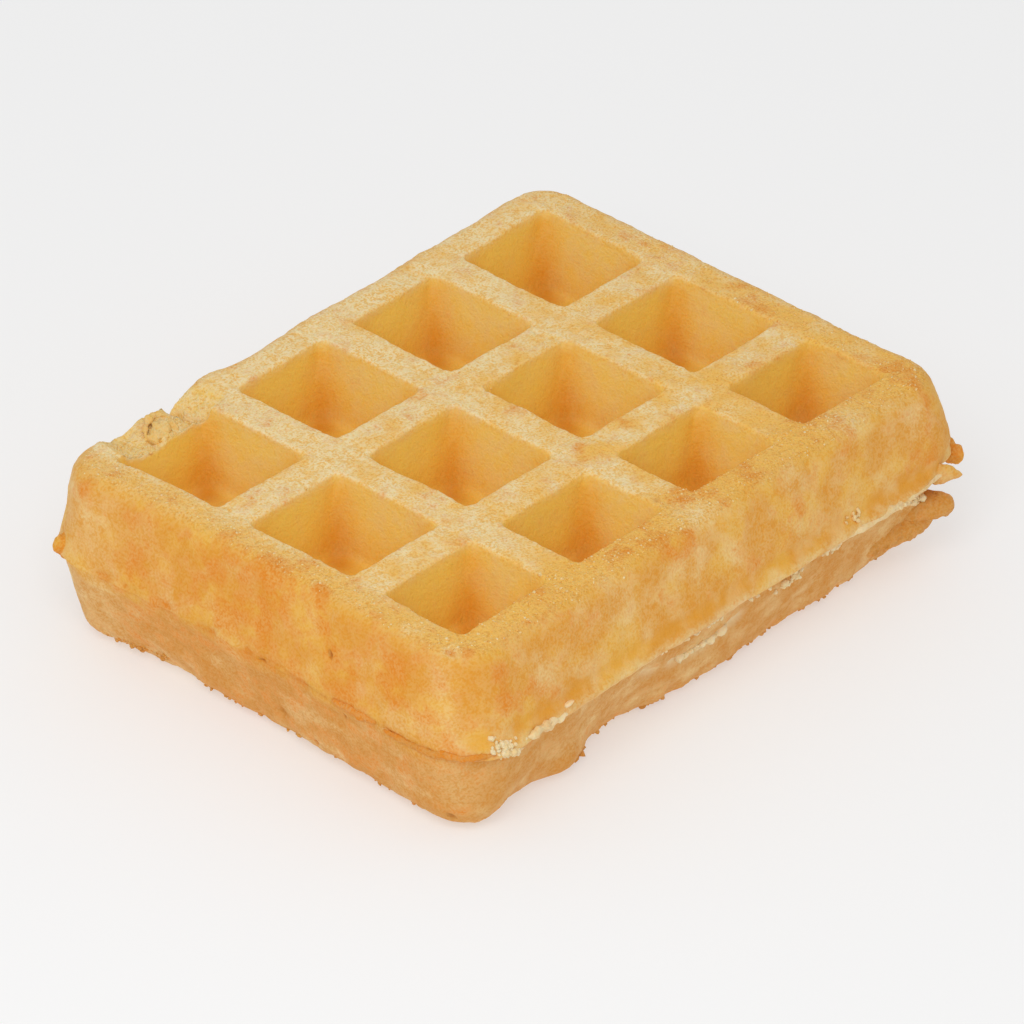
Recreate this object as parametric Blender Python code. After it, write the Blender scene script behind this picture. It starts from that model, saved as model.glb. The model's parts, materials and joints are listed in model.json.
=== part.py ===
"""Belgian waffle: a thick rectangular waffle with deep square pockets in both faces.

The waffle is one solid. Two drafted half shells meet at a seam lip at mid height, where the two
plates of the iron closed. Each face carries a grid of pockets with rounded corners, drafted walls
and softly rounded ribs. Batter that crept out between the plates left thin tongues at the seam.

Units are metres, +Z is up, +X runs along the length. The origin is the middle of the footprint,
on the surface that the waffle lies on.
"""

import math

import bmesh
import bpy
from mathutils import Matrix, Vector, noise

# The pocket grid, on which the rest depends
PITCH = 0.026
COLUMNS = 4
ROWS = 3
RIB_X = 0.25 * PITCH
RIB_Y = 0.235 * PITCH
GRID_SHIFT_Y = -0.065 * PITCH
FRONT_ROW_CUT = 0.19 * PITCH
UNDERSIDE_SHRINK = 0.955

# The outline's half length and half width at three heights, and how far its middle lies off the
# origin at the top. The grid lies off the middle, so the front row of pockets is cut narrower.
THICKNESS = 1.165 * PITCH
SEAM_HEIGHT = 0.5 * THICKNESS
SEAM_HALF = (2.21 * PITCH, 1.65 * PITCH)
TOP_HALF = (2.14 * PITCH, 1.53 * PITCH)
TOP_SHIFT = (0.015 * PITCH, 0.03 * PITCH)
BOTTOM_HALF = (2.05 * PITCH, 1.49 * PITCH)
BOTTOM_SHIFT = (0.0, 0.0)
CORNER_RADIUS = 0.34 * PITCH
CORNER_SEGMENTS = 6

# Rounded edges, and the lip along the seam
TOP_EDGE_RADIUS = 0.10 * PITCH
BOTTOM_EDGE_RADIUS = 0.15 * PITCH
LIP_REACH = 0.0005
LIP_HALF_HEIGHT = 0.0007
ARC_STEPS = 3

# Pockets
POCKET_DEPTH = 0.47 * PITCH
WALL_DRAFT = 0.075 * PITCH
POCKET_CORNER_RADIUS = 0.11 * PITCH
MOUTH_RADIUS = 0.0013
FLOOR_RADIUS = 0.0026
CUTTER_OVERRUN = 0.004

# From the middle of the seam's outline to the middle of the whole footprint
FOOTPRINT = "footprint_frame"
FOOTPRINT_SHIFT = (-0.0008, 0.0001, 0.0)

# How unevenly the batter baked: smooth noise all over, and pushes at single places
WARP_SIZE = 0.028
WARP_REACH = 0.0005
FLAT_BASE_HEIGHT = 0.006
# Each push, in pitches: where (x, y, z), how far round it reaches, and which way it moves the crust
PUSHES = (
    ((2.00, 1.50, 1.10), 0.60, (0.02, 0.05, 0.01)),
    ((-2.10, 1.45, 1.10), 0.32, (-0.07, 0.01, -0.02)),
    ((2.15, -1.50, 0.65), 0.40, (0.05, -0.03, 0.00)),
    ((-1.95, -1.45, 0.15), 0.45, (-0.05, -0.07, 0.00)),
    ((-2.05, 0.50, 0.10), 0.80, (0.06, 0.00, 0.00)),
    ((-0.60, -1.50, 0.05), 0.60, (0.00, 0.08, 0.00)),
    ((0.60, -1.50, 0.05), 0.70, (0.00, 0.08, 0.00)),
)

# Thin tongues of batter at the seam: middle (x, y, z) and half sizes in pitches, and the angle in
# degrees that the length makes with +X
TONGUES = (
    ((2.19, -1.45, 0.60), (0.15, 0.09, 0.050), -70),
    ((2.05, -1.60, 0.55), (0.13, 0.05, 0.035), -40),
    ((1.93, -1.55, 0.42), (0.19, 0.10, 0.080), -51),
    ((-2.10, 1.46, 0.58), (0.11, 0.08, 0.060), 128),
)
# A crumbled stretch of the back rim: middle (x, y, z) and half sizes, in pitches
CRUMBLED_RIM_AT = (-1.52, 1.62, 1.17)
CRUMBLED_RIM_HALF = (0.38, 0.21, 0.16)
ROUND_SEGMENTS = 12


def clear_scene():
    for obj in list(bpy.data.objects):
        bpy.data.objects.remove(obj, do_unlink=True)


def add_collection(name, hidden=False):
    collection = bpy.data.collections.new(name)
    collection.hide_render = hidden
    bpy.context.scene.collection.children.link(collection)
    return collection


def crust_material():
    material = bpy.data.materials.new("crust")
    material.use_nodes = True
    shader = material.node_tree.nodes["Principled BSDF"]
    shader.inputs["Base Color"].default_value = (0.76, 0.46, 0.16, 1.0)
    shader.inputs["Roughness"].default_value = 0.55
    shader.inputs["Metallic"].default_value = 0.0
    material.diffuse_color = (0.88, 0.70, 0.42, 1.0)
    return material


def uneven(point):
    """The point moved by the noise and the pushes, but not up or down where the waffle lies flat."""
    shift = noise.noise_vector(point / WARP_SIZE) * WARP_REACH
    for place, size, push in PUSHES:
        far = (point / PITCH - Vector(place)).length / size
        shift += Vector(push) * PITCH * math.exp(-far * far)
    shift.z *= min(1.0, max(0.0, point.z / FLAT_BASE_HEIGHT - 1.0))
    return point + shift


def bevel_uprights(bm, radius, segments):
    uprights = [
        edge
        for edge in bm.edges
        if abs(edge.verts[0].co.z - edge.verts[1].co.z) > 1e-6
    ]
    bmesh.ops.bevel(
        bm,
        geom=uprights,
        offset=radius,
        segments=segments,
        profile=0.5,
        affect="EDGES",
    )


def slice_mesh(bm, point, normal):
    bmesh.ops.bisect_plane(
        bm,
        geom=bm.verts[:] + bm.edges[:] + bm.faces[:],
        plane_co=point,
        plane_no=normal,
        dist=1e-7,
    )


def block_with_sections(sections, corner_radius, segments, lines_x=(), lines_y=()):
    """A block with rounded uprights whose outline changes with height.

    Each section is (z, half length, half width, shift in X, shift in Y), from the lowest to the
    highest.
    lines_x and lines_y are further upright slices, so that the block can be warped between them.
    """
    widest = max(section[1] for section in sections)
    deepest = max(section[2] for section in sections)
    low = sections[0][0]
    high = sections[-1][0]
    bm = bmesh.new()
    bmesh.ops.create_cube(bm, size=1.0)
    for vert in bm.verts:
        vert.co.x *= 2 * widest
        vert.co.y *= 2 * deepest
        vert.co.z = low if vert.co.z < 0 else high
    bevel_uprights(bm, corner_radius, segments)
    for section in sections[1:-1]:
        slice_mesh(bm, (0, 0, section[0]), (0, 0, 1))
    for x in lines_x:
        slice_mesh(bm, (x, 0, 0), (1, 0, 0))
    for y in lines_y:
        slice_mesh(bm, (0, y, 0), (0, 1, 0))
    for vert in bm.verts:
        nearest = min(sections, key=lambda section: abs(section[0] - vert.co.z))
        vert.co.x = vert.co.x * nearest[1] / widest + nearest[3]
        vert.co.y = vert.co.y * nearest[2] / deepest + nearest[4]
    return bm


def add_footprint_frame(collection):
    """The empty that everything hangs from, which puts the footprint's middle on the origin."""
    frame = bpy.data.objects.new(FOOTPRINT, None)
    frame.location = FOOTPRINT_SHIFT
    collection.objects.link(frame)


def add_mesh_object(name, bm, collection, material=None):
    mesh = bpy.data.meshes.new(name)
    bmesh.ops.recalc_face_normals(bm, faces=bm.faces[:])
    bm.to_mesh(mesh)
    bm.free()
    if material is not None:
        mesh.materials.append(material)
    obj = bpy.data.objects.new(name, mesh)
    obj.parent = bpy.data.objects[FOOTPRINT]
    collection.objects.link(obj)
    return obj


def add_helper(name, bm, collection):
    helper = add_mesh_object(name, bm, collection)
    helper.hide_render = True
    helper.display_type = "WIRE"
    return helper


def quarter_arc(radius):
    """(height, inset) pairs down a rounded edge, from its flat face to its side."""
    steps = [math.pi / 2 * step / ARC_STEPS for step in range(ARC_STEPS + 1)]
    return [(radius * (1 - math.cos(a)), radius * (1 - math.sin(a))) for a in steps]


def outline_section(z, end_half, end_shift, end_z, inset=0.0, reach=0.0):
    """The outline at height z on the straight draft between the seam and one face."""
    share = (z - SEAM_HEIGHT) / (end_z - SEAM_HEIGHT)
    half = [
        seam + (end - seam) * share - inset + reach
        for seam, end in zip(SEAM_HALF, end_half)
    ]
    return (z, half[0], half[1], end_shift[0] * share, end_shift[1] * share)


def waffle_sections():
    sections = []
    for height, inset in quarter_arc(BOTTOM_EDGE_RADIUS):
        sections.append(outline_section(height, BOTTOM_HALF, BOTTOM_SHIFT, 0.0, inset))
    for step, reach in ((-1, 0.0), (0, LIP_REACH), (1, 0.0)):
        z = SEAM_HEIGHT + step * LIP_HALF_HEIGHT
        sections.append(outline_section(z, TOP_HALF, TOP_SHIFT, THICKNESS, reach=reach))
    for height, inset in reversed(quarter_arc(TOP_EDGE_RADIUS)):
        z = THICKNESS - height
        sections.append(outline_section(z, TOP_HALF, TOP_SHIFT, THICKNESS, inset))
    return sections


def add_body(collection, material):
    half_pitches_x = range(-2 * (COLUMNS // 2), 2 * (COLUMNS // 2) + 1)
    half_pitches_y = range(-ROWS, ROWS + 1)
    bm = block_with_sections(
        waffle_sections(),
        CORNER_RADIUS,
        CORNER_SEGMENTS,
        lines_x=[count * PITCH / 2 for count in half_pitches_x],
        lines_y=[count * PITCH / 2 + GRID_SHIFT_Y for count in half_pitches_y],
    )
    for vert in bm.verts:
        vert.co = uneven(vert.co)
    return add_mesh_object("waffle", bm, collection, material)


def pocket_edges(index, count, rib):
    """The two sides of one pocket along one axis, before the grid is shifted."""
    middle = (index - (count - 1) / 2) * PITCH
    half = (PITCH - rib) / 2
    return middle - half, middle + half


def pocket_plan(column, row):
    """(low corner, high corner) of a pocket's mouth in the top face."""
    x_low, x_high = pocket_edges(column, COLUMNS, RIB_X)
    y_low, y_high = pocket_edges(row, ROWS, RIB_Y)
    if row == 0:
        y_low += FRONT_ROW_CUT
    shift = Vector((0.0, GRID_SHIFT_Y))
    return Vector((x_low, y_low)) + shift, Vector((x_high, y_high)) + shift


def pocket_sections(half_x, half_y):
    """Sections of a pocket cutter that opens upwards, with the face it is cut from at z = 0."""
    floor_x = half_x - WALL_DRAFT
    floor_y = half_y - WALL_DRAFT
    sections = []
    for height, inset in quarter_arc(FLOOR_RADIUS):
        z = height - POCKET_DEPTH
        sections.append((z, floor_x - inset, floor_y - inset, 0.0, 0.0))
    for height, inset in reversed(quarter_arc(MOUTH_RADIUS)):
        reach = inset - 0.7 * MOUTH_RADIUS
        sections.append((-height, half_x + reach, half_y + reach, 0.0, 0.0))
    flare = 0.3 * MOUTH_RADIUS
    sections.append((CUTTER_OVERRUN, half_x + flare, half_y + flare, 0.0, 0.0))
    return sections


def add_pocket_cutter(name, low, high, opens_up, collection):
    half = (high - low) / 2
    middle = (high + low) / 2
    bm = block_with_sections(
        pocket_sections(half.x, half.y), POCKET_CORNER_RADIUS, segments=2
    )
    face_height = THICKNESS if opens_up else 0.0
    if not opens_up:
        bmesh.ops.rotate(bm, verts=bm.verts[:], matrix=Matrix.Rotation(math.pi, 3, "X"))
    move = Vector((middle.x, middle.y, face_height))
    for vert in bm.verts:
        vert.co = uneven(vert.co + move)
    return add_helper(name, bm, collection)


def add_pocket_cutters(collection):
    for column in range(COLUMNS):
        for row in range(ROWS):
            low, high = pocket_plan(column, row)
            place = f"{column + 1}_{row + 1}"
            add_pocket_cutter(f"top_pocket_{place}", low, high, True, collection)
            low = low * UNDERSIDE_SHRINK
            high = high * UNDERSIDE_SHRINK
            add_pocket_cutter(f"under_pocket_{place}", low, high, False, collection)


def ellipsoid(middle, half, angle=0.0):
    bm = bmesh.new()
    bmesh.ops.create_uvsphere(
        bm, u_segments=ROUND_SEGMENTS, v_segments=ROUND_SEGMENTS // 2, radius=1.0
    )
    place = Matrix.Translation(middle) @ Matrix.Rotation(math.radians(angle), 4, "Z")
    bmesh.ops.transform(bm, matrix=place @ Matrix.Diagonal((*half, 1.0)), verts=bm.verts[:])
    return bm


def add_tongues(collection):
    for index, (place, sizes, angle) in enumerate(TONGUES, start=1):
        half = [size * PITCH for size in sizes]
        tongue = ellipsoid(Vector(place) * PITCH, half, angle)
        add_helper(f"tongue_{index}", tongue, collection)


def add_crumbled_rim(collection):
    middle = Vector(CRUMBLED_RIM_AT) * PITCH
    half = [size * PITCH for size in CRUMBLED_RIM_HALF]
    add_helper("crumbled_rim", ellipsoid(middle, half), collection)


def add_boolean(obj, name, operation, collection):
    modifier = obj.modifiers.new(name, "BOOLEAN")
    modifier.operation = operation
    modifier.operand_type = "COLLECTION"
    modifier.collection = collection
    modifier.solver = "EXACT"


def main():
    clear_scene()
    parts = add_collection("belgian_waffle")
    additions = add_collection("seam_additions", hidden=True)
    cutters = add_collection("pocket_cutters", hidden=True)
    add_footprint_frame(parts)
    waffle = add_body(parts, crust_material())
    add_tongues(additions)
    add_pocket_cutters(cutters)
    add_crumbled_rim(cutters)
    add_boolean(waffle, "join_tongues", "UNION", additions)
    add_boolean(waffle, "cut_pockets", "DIFFERENCE", cutters)


main()
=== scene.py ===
"""A Belgian waffle: the looks of its crust, seam, crumbs and light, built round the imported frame.

The waffle is baked as two halves that meet at a seam. Each half is one closed shell: a lattice of
ribs and pockets, an outer wall, a curled lip at the seam, and a hidden cap. Torn batter, tongues,
curds and crumbs are further pieces. Lengths are metres; shares are given in pocket pitches.
"""

import json
import logging
import math
from dataclasses import dataclass
from enum import Enum

import bpy
import numpy as np
from mathutils import Matrix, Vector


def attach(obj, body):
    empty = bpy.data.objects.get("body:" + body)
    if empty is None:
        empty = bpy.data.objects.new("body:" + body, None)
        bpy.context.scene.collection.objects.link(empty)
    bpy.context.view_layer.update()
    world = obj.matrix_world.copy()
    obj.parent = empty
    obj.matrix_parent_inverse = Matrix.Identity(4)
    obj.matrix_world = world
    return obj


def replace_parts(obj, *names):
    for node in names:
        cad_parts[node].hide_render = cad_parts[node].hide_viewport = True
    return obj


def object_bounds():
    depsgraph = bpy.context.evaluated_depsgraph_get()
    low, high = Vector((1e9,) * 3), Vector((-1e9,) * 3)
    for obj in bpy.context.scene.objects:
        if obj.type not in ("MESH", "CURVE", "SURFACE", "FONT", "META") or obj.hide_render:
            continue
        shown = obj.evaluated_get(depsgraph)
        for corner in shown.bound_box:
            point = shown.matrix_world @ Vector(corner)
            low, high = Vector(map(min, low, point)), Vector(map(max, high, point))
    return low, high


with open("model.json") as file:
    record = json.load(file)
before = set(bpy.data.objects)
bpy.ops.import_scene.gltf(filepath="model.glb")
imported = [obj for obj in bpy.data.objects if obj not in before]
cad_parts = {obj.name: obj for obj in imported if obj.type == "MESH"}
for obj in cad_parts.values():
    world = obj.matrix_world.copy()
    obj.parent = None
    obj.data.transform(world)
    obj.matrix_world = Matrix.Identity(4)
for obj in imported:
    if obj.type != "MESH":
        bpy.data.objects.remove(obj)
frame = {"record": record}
CAD_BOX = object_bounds()

BODY = "root"
NODE = "waffle"
MM = 0.001

log = logging.getLogger("waffle")


class Facing(Enum):
    """Which way a baked half's pockets open."""

    UP = 1.0
    DOWN = -1.0


def smooth_step(low: float, high: float, value: np.ndarray) -> np.ndarray:
    """Rises from 0 at low to 1 at high as 3t^2 - 2t^3, or falls if low is above high."""
    t = np.clip((value - low) / (high - low), 0.0, 1.0)
    return t * t * (3.0 - 2.0 * t)


def unit(vectors: np.ndarray) -> np.ndarray:
    """The vectors at length 1."""
    return vectors / np.maximum(np.linalg.norm(vectors, axis=-1, keepdims=True), 1e-12)


class CrustNoise:
    """Random fields over space that come out the same on every run."""

    TABLE_SIZE = 4096
    PRIMES = np.array([73856093, 19349663, 83492791], dtype=np.int64)

    def __init__(self, seed: int) -> None:
        """Fills the table of random slopes that every field draws from.

        Args:
            seed: The number that picks this set of fields.
        """
        draws = np.random.default_rng(seed)
        self._slopes = unit(draws.normal(size=(self.TABLE_SIZE, 3)))

    def _index(self, cells: np.ndarray) -> np.ndarray:
        """Where in the table each cell looks: its whole numbers times primes, mixed.

        Args:
            cells: (n, 3) whole numbers.

        Returns:
            (n,) places in the table.
        """
        mixed = cells * self.PRIMES
        mixed = mixed[..., 0] ^ mixed[..., 1] ^ mixed[..., 2]
        return (mixed ^ (mixed >> 12)) % self.TABLE_SIZE

    def smooth(self, points: np.ndarray, size: float) -> np.ndarray:
        """Gradient noise, about -1 to 1.

        Each cell corner holds a random slope. A point takes its offset from the eight corners,
        dotted with their slopes and blended by 6t^5 - 15t^4 + 10t^3 along each axis.

        Args:
            points: (n, 3) places.
            size: The width of a cell.

        Returns:
            (n,) values.
        """
        scaled = points / size
        low = np.floor(scaled).astype(np.int64)
        inside = scaled - low
        fade = inside**3 * (inside * (inside * 6.0 - 15.0) + 10.0)
        total = np.zeros(len(points))
        for corner in np.ndindex(2, 2, 2):
            step = np.array(corner)
            slope = self._slopes[self._index(low + step)]
            share = np.where(step == 1, fade, 1.0 - fade).prod(axis=1)
            total += share * ((inside - step) * slope).sum(axis=1)
        return total * 1.6

    def layered(self, points: np.ndarray, size: float, layers: int = 3) -> np.ndarray:
        """Smooth noise summed over layers, each half as wide and 0.55 as strong as the last.

        Args:
            points: (n, 3) places.
            size: The width of the first layer's cells.
            layers: How many layers.

        Returns:
            (n,) values.
        """
        total = np.zeros(len(points))
        for layer in range(layers):
            shift = 17.3 * size * layer
            total += self.smooth(points + shift, size * 0.5**layer) * 0.55**layer
        return total


@dataclass(frozen=True)
class PocketGrid:
    """The grid of pockets in one face. The ribs and other shares are in pitches."""

    pitch: float
    middle_x: float
    middle_y: float
    columns: int = 4
    rows: int = 3
    rib_x: float = 0.25
    rib_y: float = 0.235
    shift_y: float = -0.065
    front_cut: float = 0.19
    mouth_corner: float = 0.048
    foot_corner: float = 0.12
    scale: float = 1.0

    @classmethod
    def from_frame(cls, record: dict) -> "PocketGrid":
        """Reads the pitch and the middle from the free spaces stated in the pockets.

        Args:
            record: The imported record.

        Returns:
            The grid of the top face.
        """
        middles = {}
        for opening in record["physics"]["openings"]:
            kind, _, column, row = opening["name"].split("_")
            if kind == "top":
                low, high = np.array(opening["box_m"])
                middles[int(column), int(row)] = (low + high) / 2
        columns = max(column for column, _ in middles)
        rows = max(row for _, row in middles)
        first = np.mean([middles[1, row] for row in range(1, rows + 1)], axis=0)
        last = np.mean([middles[columns, row] for row in range(1, rows + 1)], axis=0)
        pitch = (last[0] - first[0]) / (columns - 1)
        second_row = np.mean([middles[column, 2] for column in range(1, columns + 1)], axis=0)
        middle_y = second_row[1] - cls.shift_y * pitch
        return cls(pitch, (first[0] + last[0]) / 2, middle_y, columns, rows)

    def sides_x(self) -> np.ndarray:
        """Where the columns' mouths begin and end.

        Returns:
            (columns, 2) low and high side of each column's mouths.
        """
        middle = (np.arange(self.columns) - (self.columns - 1) / 2)[:, None]
        half = (1.0 - self.rib_x) / 2
        sides = middle + np.array([-half, half])
        return self.middle_x + sides * self.pitch * self.scale

    def sides_y(self) -> np.ndarray:
        """Where the rows' mouths begin and end; the front row is cut narrower.

        Returns:
            (rows, 2) low and high side of each row's mouths.
        """
        middle = (np.arange(self.rows) - (self.rows - 1) / 2)[:, None] + self.shift_y
        half = (1.0 - self.rib_y) / 2
        sides = middle + np.array([-half, half])
        sides[0, 0] += self.front_cut
        return self.middle_y + sides * self.pitch * self.scale

    @staticmethod
    def _depth_inside(places: np.ndarray, sides: np.ndarray) -> np.ndarray:
        """How far each place lies inside its nearest mouth along one axis, negative on a rib."""
        inside = np.minimum(places[:, None] - sides[:, 0], sides[:, 1] - places[:, None])
        return inside.max(axis=1)

    @staticmethod
    def _rounded_least(first: np.ndarray, second: np.ndarray, radius: float) -> np.ndarray:
        """The lesser of two insets a and b, with a corner of radius r where they come close.

        Where they differ by under r it is (a + b) / 2 - r + sqrt(2 r^2 - (a - b)^2) / 2, so that
        every outline further in keeps the same corner.

        Args:
            first: (n,) insets from one pair of sides.
            second: (n,) insets from the other pair.
            radius: The corner's radius.

        Returns:
            (n,) insets.
        """
        gap = np.clip(first - second, -radius, radius)
        rounded = (first + second) / 2 - radius + np.sqrt(2 * radius**2 - gap**2) / 2
        return np.where(np.abs(first - second) < radius, rounded, np.minimum(first, second))

    def unevenness(self, x: np.ndarray, y: np.ndarray) -> np.ndarray:
        """How much further each place lies from one pair of pocket walls than from the other."""
        return self._depth_inside(x, self.sides_x()) - self._depth_inside(y, self.sides_y())

    def inset(self, x: np.ndarray, y: np.ndarray) -> np.ndarray:
        """How far each place lies inside the nearest mouth's outline, negative on the ribs.

        The corners are small at the mouth and widen to those of the foot a little way in.

        Args:
            x: (n,) places along X.
            y: (n,) places along Y.

        Returns:
            (n,) insets.
        """
        inside_x = self._depth_inside(x, self.sides_x())
        inside_y = self._depth_inside(y, self.sides_y())
        mouth = self._rounded_least(inside_x, inside_y, self.mouth_corner * self.pitch)
        foot = self._rounded_least(inside_x, inside_y, self.foot_corner * self.pitch)
        down = smooth_step(-0.2 * MM, 1.6 * MM, mouth)
        return mouth + (foot - mouth) * down


@dataclass(frozen=True)
class WallProfile:
    """The section of a pocket: a rounded mouth, a drafted wall and a rounded foot, in metres."""

    depth: float
    draft: float
    mouth_radius: float = 0.6 * MM
    foot_radius: float = 1.3 * MM
    wall_step: float = 0.66 * MM

    MOUTH_POINTS = 7
    FOOT_POINTS = 8

    def curve(self) -> tuple[np.ndarray, np.ndarray]:
        """Works out the section.

        The mouth is a circle that touches the rib top and the wall's slope, the foot one that
        touches the wall's slope and the floor, and the wall is the straight line between them.

        Returns:
            The inset and the drop at each point along it.
        """
        slope = self.draft / self.depth
        lean = math.atan(slope)
        mouth, foot = self.mouth_radius, self.foot_radius
        turn = np.linspace(0.0, math.pi / 2 - lean, self.MOUTH_POINTS)
        mouth_at = mouth * (1 - math.sin(lean)) * slope - mouth * math.cos(lean)
        mouth_inset = mouth_at + mouth * np.sin(turn)
        mouth_drop = mouth * (1 - np.cos(turn))
        foot_at = foot * math.cos(lean) + slope * (self.depth - foot + foot * math.sin(lean))
        turn = np.linspace(lean, math.pi / 2, self.FOOT_POINTS)
        foot_inset = foot_at - foot * np.cos(turn)
        foot_drop = self.depth - foot + foot * np.sin(turn)
        inset = np.concatenate([mouth_inset, foot_inset])
        drop = np.concatenate([mouth_drop, foot_drop])
        return inset, drop

    def stations(self) -> np.ndarray:
        """Places the grid lines that climb the wall, evenly spaced along the section.

        Returns:
            Their insets.
        """
        inset, drop = self.curve()
        length = np.concatenate([[0.0], np.cumsum(np.hypot(np.diff(inset), np.diff(drop)))])
        mouth = inset[: self.MOUTH_POINTS]
        mouth_end = length[self.MOUTH_POINTS - 1]
        count = int((length[-1] - mouth_end) / self.wall_step)
        below = np.linspace(mouth_end, length[-1], count + 1)[1:]
        return np.concatenate([mouth, np.interp(below, length, inset)])

    def drop_at(self, inset: np.ndarray) -> np.ndarray:
        """How far below the rib tops the crust lies at each inset."""
        return np.interp(inset, *self.curve())


@dataclass(frozen=True)
class HalfSizes:
    """One baked half, seen with its pockets upwards. Shares are in pitches."""

    facing: Facing
    height: float
    seam_half: tuple[float, float] = (2.215, 1.655)
    seam_shift: tuple[float, float] = (0.0, 0.0)
    face_half: tuple[float, float] = (2.145, 1.53)
    face_shift: tuple[float, float] = (0.02, 0.03)
    edge_radius: float = 0.10
    corner_radius: float = 0.20
    pocket_depth: float = 0.47
    wall_draft: float = 0.075
    grid_scale: float = 1.0
    rib_step: float = 0.56 * MM
    floor_step: float = 0.95 * MM


@dataclass(frozen=True)
class Push:
    """A smooth shove of the crust round one place, in pitches: exp(-(distance / size)^2)."""

    place: tuple[float, float, float]
    size: float
    move: tuple[float, float, float]


class Mark(Enum):
    """What baking left on the crust."""

    CREASE = "crease"
    DENT = "dent"
    TOAST = "toast"
    CREAM = "cream"
    BURN = "burn"
    TEAR = "tear"


def nearest_points(points: np.ndarray, targets: np.ndarray) -> np.ndarray:
    """The number of the point nearest to each target."""
    return np.array([np.argmin(((points - target) ** 2).sum(axis=1)) for target in targets])


@dataclass(frozen=True)
class Stroke:
    """A mark drawn along straight runs between places, in pitches, fading over its width."""

    mark: Mark
    path: tuple[tuple[float, float, float], ...]
    width: float
    strength: float = 1.0

    def mask(self, places: np.ndarray) -> np.ndarray:
        """How strongly the stroke marks each point of a shell.

        Its places are first laid on the shell, each at the shell's nearest point. Then a point at
        a distance d from the nearest run gets exp(-(d / width)^2).

        Args:
            places: The shell's points in pitches.

        Returns:
            (n,) values from 0 to the stroke's strength.
        """
        path = places[nearest_points(places, np.array(self.path))]
        starts, ends = (path, path) if len(path) == 1 else (path[:-1], path[1:])
        nearest = np.full(len(places), math.inf)
        for start, end in zip(starts, ends):
            run = end - start
            along = np.clip((places - start) @ run / max(run @ run, 1e-12), 0.0, 1.0)
            distance = np.linalg.norm(places - start - along[:, None] * run, axis=1)
            nearest = np.minimum(nearest, distance)
        return self.strength * np.exp(-((nearest / self.width) ** 2))


def spots(
    mark: Mark, width: float, strength: float, *places: tuple[float, float, float]
) -> tuple[Stroke, ...]:
    """One round mark at each place."""
    return tuple(Stroke(mark, (place,), width, strength) for place in places)


PUSHES = (
    Push((2.00, 1.50, 1.10), 0.60, (0.02, 0.05, 0.01)),
    Push((1.00, 1.56, 1.15), 0.45, (0.00, 0.03, 0.00)),
    Push((0.10, 1.56, 1.15), 0.30, (0.00, 0.02, 0.00)),
    Push((-0.58, 1.56, 1.15), 0.18, (0.00, -0.025, 0.00)),
    Push((-0.86, 1.56, 1.15), 0.18, (0.00, 0.04, 0.00)),
    Push((-2.10, 1.45, 1.10), 0.32, (-0.05, -0.01, -0.02)),
    Push((-2.20, 1.50, 0.42), 0.35, (-0.03, 0.01, 0.00)),
    Push((-2.10, 0.85, 0.05), 0.20, (0.03, 0.00, 0.00)),
    Push((-2.10, 0.42, 0.05), 0.22, (-0.012, 0.00, 0.00)),
    Push((2.10, -1.50, 0.95), 0.40, (0.02, -0.02, 0.00)),
    Push((2.10, -1.45, 1.18), 0.20, (-0.02, 0.01, 0.00)),
    Push((2.15, -1.50, 0.68), 0.35, (0.07, -0.035, 0.00)),
    Push((1.88, -1.50, 0.40), 0.25, (0.05, -0.08, 0.02)),
    Push((2.02, -1.62, 0.47), 0.15, (-0.07, 0.14, 0.00)),
    Push((1.82, -1.66, 0.62), 0.25, (0.00, 0.03, 0.045)),
    Push((1.75, -1.50, 0.05), 0.35, (-0.02, 0.05, 0.00)),
    Push((0.78, -1.50, 0.05), 0.30, (0.00, 0.035, 0.00)),
    Push((-0.72, -1.50, 0.05), 0.36, (0.00, 0.09, 0.00)),
    Push((-1.18, -1.50, 0.05), 0.16, (0.00, -0.065, 0.00)),
    Push((-1.62, -1.50, 0.05), 0.18, (0.00, 0.045, 0.00)),
    Push((-2.08, -0.95, 0.06), 0.25, (0.018, 0.00, 0.00)),
    Push((-1.95, -1.45, 0.15), 0.45, (-0.042, -0.07, 0.00)),
    Push((-2.15, 1.50, 0.15), 0.35, (-0.008, 0.01, 0.00)),
    Push((-2.20, 1.50, 0.85), 0.25, (0.015, -0.015, 0.00)),
    Push((-1.12, 1.55, 1.15), 0.16, (0.00, -0.015, -0.01)),
    Push((-2.05, 0.30, 0.10), 0.80, (0.052, 0.00, 0.00)),
)

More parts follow.
